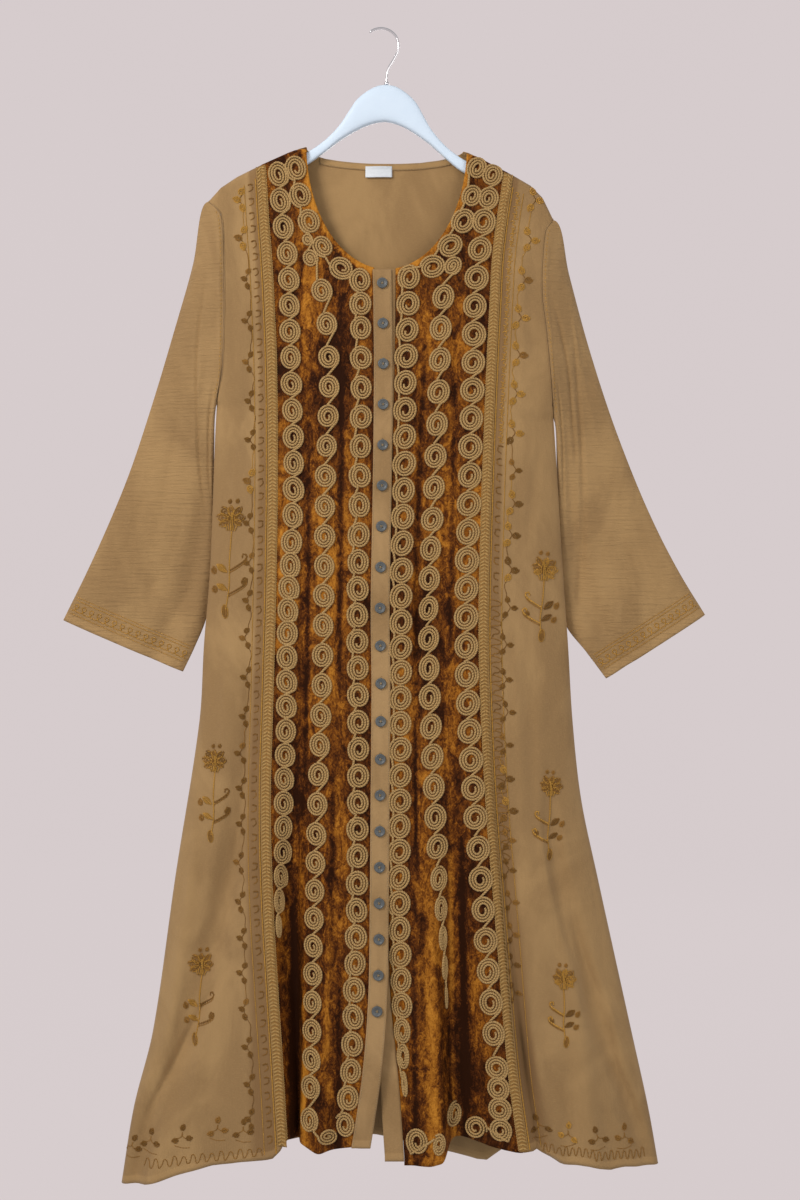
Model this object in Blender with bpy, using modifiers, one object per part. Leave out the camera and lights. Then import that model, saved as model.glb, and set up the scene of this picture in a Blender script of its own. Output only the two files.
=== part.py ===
"""A long embroidered kaftan that hangs from a painted wooden hanger.

The tables are in millimetres. x runs to the viewer's right, y away from the viewer, and drop is how far a
point lies below the seat of the hanger's hook. Left and right are the viewer's. MM turns them into metres,
with +Z up and the origin at the seat of the hook.
"""
import math
from collections import namedtuple

import bmesh
import bpy
from mathutils import Matrix, Vector
from mathutils.bvhtree import BVHTree

MM = 0.001

# Walls and gaps
RAYON = 1.4
VELVET = 1.8
SEAM = 0.15
BRAID_SEAM = 0.4
LIFT = 0.5
RIDGE = 2.0
RIDGE_ROUND = 9.0

# Neck, cut as two half ellipses
NECK_X = 7.5
NECK_DROP = 153.0
NECK_HALF_WIDTH = 104.0
NECK_FRONT_DEPTH = 161.0
NECK_BACK_DEPTH = 19.0

# Armhole, sleeve, placket, braid, coils and buttons
ARM_HALF_THICK = 12.0
BAND_WIDTH = 24.5
BAND_LAP = 2.5
BAND_THICK = 1.8
BRAID_HALF_WIDTH = 6.3
BRAID_THICK = 1.4
COIL_RADIUS = 12.6
COIL_STRIP = 13.2
COIL_THICK = 2.2
LINK_HALF_WIDTH = 3.6
NECK_ARC_SCALE = 1.14
BUTTON_RADIUS = 7.0

# Hanger
HOOK_RADIUS = 23.0
WIRE_RADIUS = 1.65
HANGER_TILT = 2.2
HANGER_X = 7.5
HANGER_DROP = 72.0

Outline = namedtuple("Outline", "drop x")
LEFT_EDGE = [Outline(*row) for row in (
    (224, -224), (233, -214), (243, -207), (300, -203), (440, -205), (486, -213), (700, -222), (800, -230),
    (900, -236), (1100, -267), (1300, -296), (1400, -321), (1481, -336))]
RIGHT_EDGE = [Outline(*row) for row in (
    (248, 224), (257, 217), (266, 213), (310, 209), (350, 209), (400, 215), (505, 224), (700, 236), (800, 243),
    (900, 249), (1000, 260), (1100, 281), (1300, 325), (1400, 347), (1463, 359))]
UNDERARM = {-1: 486, 1: 505}

# The ridge where front and back meet over the hanger's arms: how far down it lies at each x
Ridge = namedtuple("Ridge", "x drop")
SHOULDERS = [Ridge(*row) for row in (
    (-224, 224), (-208, 206), (-187, 192), (-152, 174.5), (-126, 162.5), (-100, 152.5),
    (110, 158.5), (129, 167.5), (170, 189), (194, 203), (210, 219), (224, 248))]

# How far the smooth front and back lie from the middle plane
Depth = namedtuple("Depth", "drop front back")
DEPTHS = [Depth(*row) for row in (
    (140, 10, 10), (260, 11, 11), (400, 17, 15), (600, 24, 20), (900, 33, 28), (1200, 41, 34), (1490, 47, 39))]

# The long lines of the front: middles of the braids, edges of the bands and middles of the coil rows
Lines = namedtuple("Lines", "drop braid_l outer_l middle_l inner_l band under inner_r middle_r outer_r braid_r")
LINES = [Lines(*row) for row in (
    (150, -158, -134.5, -99, -37, -11, 17, 42, 112, 147, 168),
    (200, -154, -132, -98, -35, -11, 17, 41, 107, 142.5, 163.5),
    (250, -151, -128, -97, -32, -11, 18, 40, 100, 133, 156),
    (300, -147, -121, -91, -28, -11, 18.5, 37.5, 95, 126, 150),
    (350, -144, -119, -75, -25.5, -10, 19, 36, 80, 121, 147),
    (450, -140, -116, -67, -24.5, -9, 17.5, 33, 75, 118, 142),
    (600, -139, -112.5, -72, -26, -10.5, 14, 30, 67.5, 113, 136),
    (750, -141, -119.5, -73.5, -29, -13, 12, 26.5, 61, 109, 132),
    (850, -143.5, -121, -76, -28, -12, 11.5, 26, 62, 110, 133),
    (1000, -147, -125, -81, -28, -13, 10.5, 25, 68, 119, 140),
    (1125, -144, -127, -85, -29.5, -14, 9.5, 24, 75, 129.5, 150),
    (1250, -136.5, -121, -87, -33, -16, 12.5, 28, 79.5, 140, 160),
    (1350, -130, -115.5, -89, -38, -24, 22.5, 36, 82.5, 148, 169),
    (1450, -124, -111.5, -92, -51, -39, 30, 50, 86.5, 156, 183))]

# Creases of the front: how far each long edge lies behind the smooth form, at the drops of the first row
CREASE_DROPS = (300, 650, 760, 860, 1000, 1125, 1250, 1350, 1450)
CREASES = {
    "braid_l_out": (0, 0, 0, 0, 0, 0, 0, 0, 0),
    "braid_l_in": (0, 0, 0, 0, 0, 0, 0, 0, 0),
    "outer_l_out": (0, 0, 0, 0, 0, 2, 2, 2, 1),
    "outer_l_in": (0, 0, 1, 4, 12, 21, 23, 24, 25),
    "valley_l": (0, 1, 2, 5, 13, 23, 25, 26, 27),
    "middle_l_out": (0, 0, 0, 2, 5, 8, 8, 8, 8),
    "middle_l_in": (0, 0, 0, 0, 0, -1, -3, -4, -4),
    "inner_l_out": (0, 0, 0, 0, 0, 2, 6, 9, 10),
    "inner_l_in": (0, 0, 0, 0, 0, 0, 2, 3, 4),
    "inner_r_in": (0, 0, 0, 0, 0, 2, 10, 12, 3),
    "inner_r_out": (0, 0, 0, 0, 0, -1, -2, -3, -4),
    "middle_r_in": (0, 3, 9, 4, 0, -3, -4, -5, -5),
    "middle_r_out": (0, -1, -3, -1, 1, 9, 18, 19, 19),
    "valley_r": (0, 0, 0, 1, 4, 13, 22, 25, 26),
    "outer_r_in": (0, 0, 0, 0, 2, 4, 7, 8, 8),
    "outer_r_out": (0, 0, 0, 0, 0, -1, -2, -2, -1),
    "braid_r_in": (0, 0, 0, 0, 1, 1, 0, 0, 0),
    "braid_r_out": (0, 0, 0, 2, 7, 8, 6, 2, 0),
}
VALLEY_PLACE = {-1: 0.45, 1: 0.22}

# Folds of the side panels and the back: the path of each through three drops, where it starts, and its size
Fold = namedtuple("Fold", "start x_start middle x_middle x_hem half_width depth")
SIDE_FOLDS = {
    -1: [Fold(700, -178, 1080, -192, -318, 36, 12), Fold(900, -222, 1200, -262, -290, 26, -5)],
    1: [Fold(980, 158, 1250, 170, 220, 20, 14), Fold(1050, 222, 1250, 250, 272, 26, -7),
        Fold(880, 206, 1160, 246, 352, 24, 10)],
}
BACK_FOLDS = [Fold(420, -80, 950, -96, -150, 34, 11), Fold(520, 60, 980, 84, 120, 36, 12),
              Fold(800, -190, 1120, -216, -262, 32, 9), Fold(760, 190, 1120, 222, 268, 32, 9),
              Fold(1020, -10, 1240, -14, -24, 26, 8)]

# The hem: how far down the cloth reaches at each x
Hem = namedtuple("Hem", "x drop")
FRONT_HEM = [Hem(*row) for row in (
    (-336, 1481), (-283, 1479), (-253, 1471), (-222, 1462), (-154, 1456), (-120, 1446), (-60, 1445), (-38, 1442),
    (30, 1452), (68, 1455), (95, 1440), (152, 1441), (199, 1450), (228, 1458), (282, 1463), (359, 1461))]
BACK_HEM = [Hem(*row) for row in (
    (-336, 1481), (-240, 1466), (-100, 1452), (0, 1448), (120, 1450), (240, 1457), (359, 1461))]

# Sleeve rings from armhole to cuff: the outer fold, the inner fold, the middle plane and the half thickness
Ring = namedtuple("Ring", "out_x out_drop in_x in_drop middle half")
SLEEVES = {
    -1: [Ring(*row) for row in (
        (-224, 224, -213, 486, 0, 12), (-245, 305, -217.5, 540, 5, 12), (-270, 390, -218, 602, 10, 11),
        (-297, 478, -216.5, 662, 14, 10.5), (-326, 566, -219.5, 715, 15, 10), (-352, 632, -229, 765, 14, 10),
        (-383, 702, -244, 803, 12, 10.5), (-415, 768, -259, 835, 10, 11))],
    1: [Ring(*row) for row in (
        (224, 248, 224, 505, 0, 12), (245, 318, 229, 562, 5, 12), (270, 408, 229, 622, 10, 11),
        (300, 500, 227, 682, 14, 10.5), (332, 584, 230, 732, 15, 10), (361, 650, 242, 775, 14, 10),
        (391, 708, 268, 809, 12, 10.5), (423, 761, 294, 844, 10, 11))],
}
SleeveFold = namedtuple("SleeveFold", "place_top place_cuff start half_width depth")
SLEEVE_FOLDS = {
    -1: [SleeveFold(0.84, 0.76, 0.15, 0.16, 4.5)],
    1: [SleeveFold(0.62, 0.80, 0.10, 0.15, 5.5)],
}

# Coils of each row: the drop of the first, of some between, and of the last, by their number down the row
Place = namedtuple("Place", "number drop")
COIL_PLACES = {
    "outer_l": [Place(0, 192), Place(14, 668), Place(18, 785), Place(36, 1346)],
    "middle_l": [Place(0, 277), Place(1, 301), Place(2, 343), Place(4, 429), Place(12, 737), Place(20, 1042),
                 Place(29, 1362), Place(30, 1404)],
    "inner_l": [Place(0, 329), Place(2, 392), Place(9, 659), Place(31, 1411)],
    "inner_r": [Place(0, 325), Place(11, 705), Place(30, 1325), Place(33, 1430)],
    "middle_r": [Place(0, 310), Place(8, 639), Place(21, 1133), Place(28, 1397)],
    "outer_r": [Place(0, 191), Place(2, 253), Place(23, 1020), Place(31, 1334), Place(34, 1413)],
}
SMALL_COILS = {
    ("middle_l", 0): 0.45, ("middle_l", 1): 0.5, ("inner_l", 3): 0.9, ("middle_r", 0): 0.75, ("outer_r", 0): 0.85, ("outer_r", 1): 0.85,
    ("inner_r", 0): 0.85, ("inner_r", 1): 0.85}
NECK_ARC_ANGLES = {-1: (9.7, 21.0, 32.8, 45.9, 60.4), 1: (9.3, 21.3, 33.0, 46.1, 60.0)}
BUTTON_PLACES = [Place(0, 333), Place(8, 752), Place(12, 945), Place(19, 1265)]

# The wooden hanger, measured out from its middle: its top edge, its lower edge and half its thickness
Wood = namedtuple("Wood", "out top low half")
WOOD = [Wood(*row) for row in (
    (0, 0, 48, 7), (12, 2, 50, 7), (26, 10, 55, 7), (39, 22, 62, 7), (50, 40, 69, 6.5), (60, 56, 76, 6),
    (79, 76.5, 92, 4.8), (102, 92.5, 109, 4.6), (133, 104.2, 121, 4.8), (160, 117.2, 133.5, 5),
    (193, 137.5, 150, 5), (198, 142, 152, 4.6), (201, 146, 150, 4))]

RIDGE_ROWS = ((0.0, True), (0.0, False), (1.0, False), (3.5, False), (RIDGE_ROUND, False))
ARM_SHARES = (0.06, 0.14, 0.26, 0.42, 0.6, 0.76, 0.88, 0.95, 0.985, 1.0)
SLEEVE_SHARES = (0.0, 0.012, 0.03, 0.055, 0.1, 0.17, 0.28, 0.43, 0.6, 0.76, 0.88, 0.945, 0.983, 1.0)
SKIRT_FIRST = 4.0
SKIRT_ROWS = 12
VELVET_TOP_ROW = 240.0
VELVET_DROPS = (240, 290, 345, 400, 470, 550, 650, 705, 760, 810, 860, 930, 1000, 1062, 1125, 1188, 1250, 1300,
                1350, 1400)
SIDE_SHARES = (0.0, 0.07, 0.16, 0.27, 0.39, 0.52, 0.65, 0.77, 0.87, 0.94, 0.975)
BACK_SHARES = (0.012, 0.04, 0.1, 0.17, 0.25, 0.33, 0.41, 0.5, 0.59, 0.67, 0.75, 0.83, 0.9, 0.96, 0.988)
COLOURS = {
    "rayon": (0.36, 0.23, 0.11, 1.0),
    "velvet": (0.30, 0.10, 0.02, 1.0),
    "cord": (0.42, 0.28, 0.14, 1.0),
    "gold": (0.45, 0.27, 0.08, 1.0),
    "button": (0.07, 0.09, 0.10, 1.0),
    "white": (0.80, 0.85, 0.90, 1.0),
    "chrome": (0.75, 0.76, 0.78, 1.0),
}


def curve(rows, column, at, key="drop"):
    """Reads one column of a table between its rows, on a smooth curve through them."""
    keys = [getattr(row, key) for row in rows]
    values = [getattr(row, column) for row in rows]
    at = min(max(at, keys[0]), keys[-1])
    i = max(k for k in range(len(keys) - 1) if keys[k] <= at)
    step = keys[i + 1] - keys[i]
    before = max(i - 1, 0)
    after = min(i + 2, len(keys) - 1)
    slope_in = (values[i + 1] - values[before]) / (keys[i + 1] - keys[before]) * step
    slope_out = (values[after] - values[i]) / (keys[after] - keys[i]) * step
    t = (at - keys[i]) / step
    rise = values[i + 1] - values[i]
    return values[i] + t * (slope_in + t * (3 * rise - 2 * slope_in - slope_out + t * (slope_in + slope_out - 2 * rise)))


def straight(rows, column, at, key):
    """Reads one column of a table between its rows, on straight lines."""
    keys = [getattr(row, key) for row in rows]
    values = [getattr(row, column) for row in rows]
    at = min(max(at, keys[0]), keys[-1])
    i = max(k for k in range(len(keys) - 1) if keys[k] <= at)
    return values[i] + (values[i + 1] - values[i]) * (at - keys[i]) / (keys[i + 1] - keys[i])


def smoothstep(low, high, value):
    t = min(max((value - low) / (high - low), 0.0), 1.0)
    return t * t * (3 - 2 * t)


def bump(distance, half_width):
    """One soft fold across its width: 1 on its line, 0 at its sides."""
    if abs(distance) >= half_width:
        return 0.0
    return (0.5 + 0.5 * math.cos(math.pi * distance / half_width)) ** 1.2


def edge_x(side, drop):
    """The armhole seam down to the underarm, then the folded side of the garment."""
    return curve(LEFT_EDGE if side < 0 else RIGHT_EDGE, "x", drop)


def shoulder(x):
    """Drop of the ridge over the hanger at x, carried straight on across the neck."""
    return straight(SHOULDERS, "drop", x, "x")


def arm_half_thick(side, drop):
    """Half the garment's thickness at the armhole seam, closing at its top and at the underarm."""
    top = SHOULDERS[0].drop if side < 0 else SHOULDERS[-1].drop
    share = (drop - top) / (UNDERARM[side] - top)
    if share > 1.001:
        return 0.0
    share = min(max(share, 0.0), 1.0)
    return max(ARM_HALF_THICK * math.sqrt(1 - abs(2 * share - 1) ** 3), RIDGE)


def smooth_depth(x, drop, which):
    """Distance of the front or the back from the middle plane, with no folds."""
    left = edge_x(-1, drop)
    right = edge_x(1, drop)
    middle = 0.5 * (left + right)
    across = min(abs(x - middle) / (0.5 * (right - left)), 1.0)
    side = -1 if x < middle else 1
    arm = arm_half_thick(side, drop)
    depth = curve(DEPTHS, which, drop)
    full = arm + (depth - arm) * math.sqrt(1 - across ** 3)
    below = drop - shoulder(x)
    if below >= RIDGE_ROUND:
        return full
    rise = math.sqrt(max(1 - (1 - max(below, 0.0) / RIDGE_ROUND) ** 2, 0.0))
    return min(full, max(full * rise, RIDGE))


def crease(name, drop):
    rows = [Place(depth, at) for at, depth in zip(CREASE_DROPS, CREASES[name])]
    return curve(rows, "number", drop)


def strip_edges(row, drop):
    """The two edges of a flat strip under a coil row: narrower seen from the front where it is turned."""
    side_name = row[-1]
    middle = curve(LINES, row, drop)
    toward_left = ("_out", "_in") if side_name == "l" else ("_in", "_out")
    depths = [crease(row + end, drop) for end in toward_left]
    half = math.sqrt(COIL_STRIP ** 2 - (0.5 * (depths[1] - depths[0])) ** 2)
    return (middle - half, depths[0]), (middle + half, depths[1])


def front_creases(side, drop):
    """The creased lines of one half of the front at a drop, from left to right, as x and depth."""
    letter = "l" if side < 0 else "r"
    braid = curve(LINES, "braid_" + letter, drop)
    out_line = (braid + side * BRAID_HALF_WIDTH, crease(f"braid_{letter}_out", drop))
    in_line = (braid - side * BRAID_HALF_WIDTH, crease(f"braid_{letter}_in", drop))
    outer = strip_edges("outer_" + letter, drop)
    middle = strip_edges("middle_" + letter, drop)
    inner = strip_edges("inner_" + letter, drop)
    if side < 0:
        near, far = outer[1], middle[0]
        place = near[0] + VALLEY_PLACE[side] * (far[0] - near[0])
        valley = (place, crease("valley_l", drop))
        return [out_line, in_line, *outer, valley, *middle, *inner]
    near, far = middle[1], outer[0]
    place = near[0] + VALLEY_PLACE[side] * (far[0] - near[0])
    valley = (place, crease("valley_r", drop))
    return [*inner, *middle, valley, *outer, in_line, out_line]


def fold_offset(folds, x, drop, hem):
    """Sum of the soft folds at a point, positive towards the middle plane."""
    total = 0.0
    for fold in folds:
        t = (drop - fold.start) / (hem - fold.start)
        if t <= 0:
            continue
        m = (fold.middle - fold.start) / (hem - fold.start)
        bend = (fold.x_middle - fold.x_start - m * (fold.x_hem - fold.x_start)) / (m * (m - 1))
        path = fold.x_start + t * (fold.x_hem - fold.x_start) + bend * t * (t - 1)
        total += fold.depth * smoothstep(0, 0.55, t) * bump(x - path, fold.half_width * (0.6 + 0.5 * t))
    return total


def front_y(x, drop, side):
    """The outer face of the front. Between two creased lines of the velvet it is flat."""
    lines = front_creases(side, drop)
    if lines[0][0] <= x <= lines[-1][0]:
        for (x0, depth0), (x1, depth1) in zip(lines, lines[1:]):
            if x <= x1:
                y0 = depth0 - smooth_depth(x0, drop, "front")
                y1 = depth1 - smooth_depth(x1, drop, "front")
                return y0 + (y1 - y0) * (x - x0) / (x1 - x0)
    on_side_panel = (x < lines[0][0]) if side < 0 else (x > lines[-1][0])
    if not on_side_panel:
        depth = (lines[-1] if side < 0 else lines[0])[1]
        return depth - smooth_depth(x, drop, "front")
    braid_x, braid_depth = lines[0] if side < 0 else lines[-1]
    reach = abs(edge_x(side, drop) - braid_x)
    from_edge = min(abs(edge_x(side, drop) - x) / 30.0, 1.0)
    offset = fold_offset(SIDE_FOLDS[side], x, drop, 1470.0) * smoothstep(0, 1, from_edge)
    near_braid = smoothstep(0.0, 18.0, abs(x - braid_x))
    offset = offset * near_braid + braid_depth * (1 - smoothstep(0, 0.35 * reach, abs(x - braid_x)))
    return offset - smooth_depth(x, drop, "front")


def back_y(x, drop):
    """The outer face of the back."""
    to_edge = min(x - edge_x(-1, drop), edge_x(1, drop) - x)
    offset = fold_offset(BACK_FOLDS, x, drop, 1470.0) * smoothstep(0, 40, to_edge)
    return smooth_depth(x, drop, "back") - offset


def point(x, y, drop):
    return Vector((x * MM, y * MM, -drop * MM))


def material(name, roughness, metallic=0.0):
    result = bpy.data.materials.new(name)
    result.use_nodes = True
    shader = result.node_tree.nodes["Principled BSDF"]
    shader.inputs["Base Color"].default_value = COLOURS[name]
    shader.inputs["Roughness"].default_value = roughness
    shader.inputs["Metallic"].default_value = metallic
    return result


def add_object(name, mesh, looks, collection, smooth=False):
    mesh.materials.append(looks)
    mesh.polygons.foreach_set("use_smooth", [smooth] * len(mesh.polygons))
    result = bpy.data.objects.new(name, mesh)
    collection.objects.link(result)
    return result


def cloth_sheet(name, grid, thick, looks, collection, flip=False, closed=False):
    """An open sheet through a grid of points, made into a wall that lies behind its outer face."""
    rows = len(grid)
    columns = len(grid[0])
    bm = bmesh.new()
    bmesh.ops.create_grid(bm, x_segments=columns - 1, y_segments=rows - 1, size=1.0)
    bm.verts.ensure_lookup_table()
    for i, vert in enumerate(bm.verts):
        vert.co = grid[i // columns][i % columns]
    if closed:
        bmesh.ops.remove_doubles(bm, verts=bm.verts, dist=1e-7)
    if flip:
        bmesh.ops.reverse_faces(bm, faces=bm.faces)
    mesh = bpy.data.meshes.new(name)
    bm.to_mesh(mesh)
    bm.free()
    result = add_object(name, mesh, looks, collection)
    wall = result.modifiers.new("wall", "SOLIDIFY")
    wall.thickness = thick * MM
    wall.offset = -1.0
    wall.use_even_offset = True
    return result


def loft(name, rings, looks, collection, smooth=False):
    """One closed body through rings of points, with flat ends."""
    count = len(rings[0])
    mesh = bpy.data.meshes.new(name)
    points = [p for ring in rings for p in ring]
    faces = [tuple(reversed(range(count)))]
    for r in range(len(rings) - 1):
        for k in range(count):
            after = (k + 1) % count
            faces.append((r * count + k, r * count + after, (r + 1) * count + after, (r + 1) * count + k))
    faces.append(tuple(range((len(rings) - 1) * count, len(rings) * count)))
    mesh.from_pydata(points, [], faces)
    bm = bmesh.new()
    bm.from_mesh(mesh)
    bmesh.ops.recalc_face_normals(bm, faces=bm.faces)
    bm.to_mesh(mesh)
    bm.free()
    return add_object(name, mesh, looks, collection, smooth)


def neck_cutter(name, depth, low_y, high_y, collection):
    """An upright elliptic prism that cuts the neck out of one face of the garment."""
    bm = bmesh.new()
    bmesh.ops.create_cone(bm, cap_ends=True, segments=64, radius1=1.0, radius2=1.0, depth=1.0)
    turn = Matrix.Rotation(math.radians(90), 4, "X")
    bmesh.ops.transform(bm, matrix=turn, verts=bm.verts)
    size = Matrix.Diagonal((NECK_HALF_WIDTH * MM, (high_y - low_y) * MM, depth * MM, 1.0))
    bmesh.ops.transform(bm, matrix=size, verts=bm.verts)
    mesh = bpy.data.meshes.new(name)
    bm.to_mesh(mesh)
    bm.free()
    result = bpy.data.objects.new(name, mesh)
    result.location = point(NECK_X, 0.5 * (low_y + high_y), NECK_DROP)
    result.hide_render = True
    result.display_type = "WIRE"
    collection.objects.link(result)
    return result


def cut(target, cutter):
    hole = target.modifiers.new("neck", "BOOLEAN")
    hole.operation = "DIFFERENCE"
    hole.object = cutter


def top_drop(line):
    """Where a long line starts, on the ridge of the shoulder."""
    drop = 190.0
    for _ in range(40):
        drop = shoulder(line(drop))
    return drop


def hem_drop(line, hem):
    drop = 1450.0
    for _ in range(10):
        drop = straight(hem, "drop", line(drop), "x")
    return drop


def column_points(line, drops, depth, which_y):
    """The points of one long line of a panel, over the ridge and down to the hem."""
    top = top_drop(line)
    result = []
    for below, on_seam in RIDGE_ROWS:
        drop = top + below
        x = line(drop)
        if on_seam:
            y = SEAM * depth
        elif below == 0:
            y = RIDGE * depth
        else:
            y = which_y(x, drop)
        result.append(point(x, y, drop))
    for drop in drops(top + RIDGE_ROUND):
        x = line(drop)
        result.append(point(x, which_y(x, drop), drop))
    return result


def velvet_panel(side, looks, collection):
    """A centre panel, from the seam under the braid to the placket."""
    letter = "l" if side < 0 else "r"
    lines = [lambda drop: curve(LINES, "braid_" + letter, drop) - side * BRAID_SEAM]
    for k in range(1, 8):
        lines.append(lambda drop, k=k: front_creases(side, drop)[k if side < 0 else 8 - k][0])
    if side < 0:
        lines.append(lambda drop: curve(LINES, "band", drop) + BAND_LAP)
    else:
        lines.append(lambda drop: curve(LINES, "under", drop) + SEAM)

    def drops(line):
        hem = hem_drop(line, FRONT_HEM)
        return lambda top: [top + 0.3 * (VELVET_TOP_ROW - top), top + 0.65 * (VELVET_TOP_ROW - top), *VELVET_DROPS, hem]

    columns = [column_points(line, drops(line), -1, lambda x, drop: front_y(x, drop, side)) for line in lines]
    grid = [list(row) for row in zip(*columns)]
    name = "front_velvet_left" if side < 0 else "front_velvet_right"
    return cloth_sheet(name, grid, VELVET, looks, collection, flip=side < 0)


def side_panel(side, looks, collection):
    """A side panel, from the seam under the braid to the armhole and the folded side."""
    letter = "l" if side < 0 else "r"

    def braid_seam(drop):
        return curve(LINES, "braid_" + letter, drop) + side * BRAID_SEAM

    def braid_out(drop):
        return front_creases(side, drop)[0 if side < 0 else -1][0]

    def edge(drop):
        return edge_x(side, drop)

    def near_edge(drop):
        return edge(drop) - side * edge_inset(side, drop)

    lines = [braid_seam]
    for share in SIDE_SHARES:
        lines.append(lambda drop, share=share: braid_out(drop) + share * (edge(drop) - braid_out(drop)))
    lines += [near_edge, edge]
    tip = SHOULDERS[0].drop if side < 0 else SHOULDERS[-1].drop
    edge_hem = hem_drop(edge, FRONT_HEM)
    edge_top = tip + RIDGE_ROUND
    shares = arm_and_skirt_shares(side, edge_top, edge_hem)

    def drops(line):
        hem = hem_drop(line, FRONT_HEM)
        return lambda top: [top + share * (hem - top) for share in shares]

    def y_here(least):
        return lambda x, drop: min(front_y(x, drop, side), -least)

    least = [SEAM] * (len(lines) - 2) + [RIDGE, SEAM]
    columns = [column_points(line, drops(line), -1, y_here(gap)) for line, gap in zip(lines, least)]
    grid = [list(row) for row in zip(*columns)]
    name = "front_side_left" if side < 0 else "front_side_right"
    return cloth_sheet(name, grid, RAYON, looks, collection, flip=side > 0)


def edge_inset(side, drop):
    """How far in the last column before the edge lies: at the edge itself where the side is a fold."""
    return 0.9 * (1 - smoothstep(-25, SKIRT_FIRST, drop - UNDERARM[side]))


def arm_and_skirt_shares(side, top, hem):
    """Rows down the edge as shares: close together at the armhole, then even down to the hem."""
    arm = UNDERARM[side]
    rows = [top + share * (arm - top) for share in ARM_SHARES]
    skirt = arm + SKIRT_FIRST
    rows += [skirt + (hem - skirt) * k / SKIRT_ROWS for k in range(SKIRT_ROWS + 1)]
    return [(row - top) / (hem - top) for row in rows]


def back_panel(looks, collection):
    """The back, one panel from side to side."""
    def left_edge(drop):
        return edge_x(-1, drop)

    def right_edge(drop):
        return edge_x(1, drop)

    lines = [left_edge, lambda drop: left_edge(drop) + edge_inset(-1, drop)]
    for share in BACK_SHARES:
        lines.append(lambda drop, share=share: left_edge(drop) + share * (right_edge(drop) - left_edge(drop)))
    lines += [lambda drop: right_edge(drop) - edge_inset(1, drop), right_edge]
    across = (0.0, 0.0, *BACK_SHARES, 1.0, 1.0)
    left_hem = hem_drop(lines[0], BACK_HEM)
    right_hem = hem_drop(lines[-1], BACK_HEM)
    left_top = SHOULDERS[0].drop + RIDGE_ROUND
    right_top = SHOULDERS[-1].drop + RIDGE_ROUND
    left = arm_and_skirt_shares(-1, left_top, left_hem)
    right = arm_and_skirt_shares(1, right_top, right_hem)

    def drops(line, share):
        hem = hem_drop(line, BACK_HEM)
        shares = [a + share * (b - a) for a, b in zip(left, right)]
        return lambda top: [top + share * (hem - top) for share in shares]

    def y_here(least):
        return lambda x, drop: max(back_y(x, drop), least)

    least = [SEAM, RIDGE] + [SEAM] * len(BACK_SHARES) + [RIDGE, SEAM]
    columns = [column_points(line, drops(line, share), 1, y_here(gap))
               for line, share, gap in zip(lines, across, least)]
    grid = [list(row) for row in zip(*columns)]
    return cloth_sheet("back", grid, RAYON, looks, collection, flip=False)


def sleeve(side, looks, collection):
    """A straight wide sleeve: a flat tube of rings, from the armhole to the open cuff."""
    rows = SLEEVES[side]
    tip = SHOULDERS[0].drop if side < 0 else SHOULDERS[-1].drop
    arm_top = tip + RIDGE_ROUND
    drops = [tip + below for below, on_seam in RIDGE_ROWS if not on_seam]
    drops += [arm_top + share * (UNDERARM[side] - arm_top) for share in ARM_SHARES]
    front, back = [], []
    for drop, share in zip(drops, SLEEVE_SHARES):
        x = edge_x(side, drop) + side * 2 * SEAM
        thick = arm_half_thick(side, drop)
        front.append((x, -thick, drop))
        back.append((x, thick, drop))
    rings = [front + back[::-1]]
    step = []
    for x, y, drop in rings[0]:
        share = (drop - tip) / (UNDERARM[side] - tip)
        low = smoothstep(0.5, 1.0, share)
        high = 1 - smoothstep(0.0, 0.1, share)
        step.append((x + side * (3.0 - 2.0 * low), y, drop + 1.5 * high + 3.0 * low))
    rings.append(step)
    for number, row in enumerate(rows[1:], 1):
        down = number / (len(rows) - 1)
        front, back = [], []
        for share in SLEEVE_SHARES:
            x = row.out_x + (row.in_x - row.out_x) * share
            drop = row.out_drop + (row.in_drop - row.out_drop) * share
            thick = max(row.half * math.sqrt(1 - abs(2 * share - 1) ** 3), RIDGE)
            dent = 0.0
            for fold in SLEEVE_FOLDS[side]:
                place = fold.place_top + (fold.place_cuff - fold.place_top) * down
                dent += fold.depth * smoothstep(fold.start, 0.6, down) * bump(share - place, fold.half_width)
            front.append((x, row.middle - thick + dent, drop))
            back.append((x, row.middle + thick, drop))
        rings.append(front + back[::-1])
    grid = [[point(*corner) for corner in (*ring, ring[0])] for ring in rings]
    name = "sleeve_left" if side < 0 else "sleeve_right"
    return cloth_sheet(name, grid, RAYON, looks, collection, flip=side < 0, closed=True)


def face_tree(panels):
    """The outer and inner faces of some finished panels, for laying things on them."""
    depsgraph = bpy.context.evaluated_depsgraph_get()
    return [BVHTree.FromObject(panel, depsgraph) for panel in panels]


def hit(trees, x, drop, start=-200.0, way=1.0):
    """Where a line through x and drop, along y, first meets the panels. It is None between them."""
    found = None
    for tree in trees:
        place, normal, face, length = tree.ray_cast(point(x, start, drop), Vector((0.0, way, 0.0)))
        if place is not None and (found is None or length < found[1]):
            found = (place, length)
    return found[0] if found else None


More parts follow.
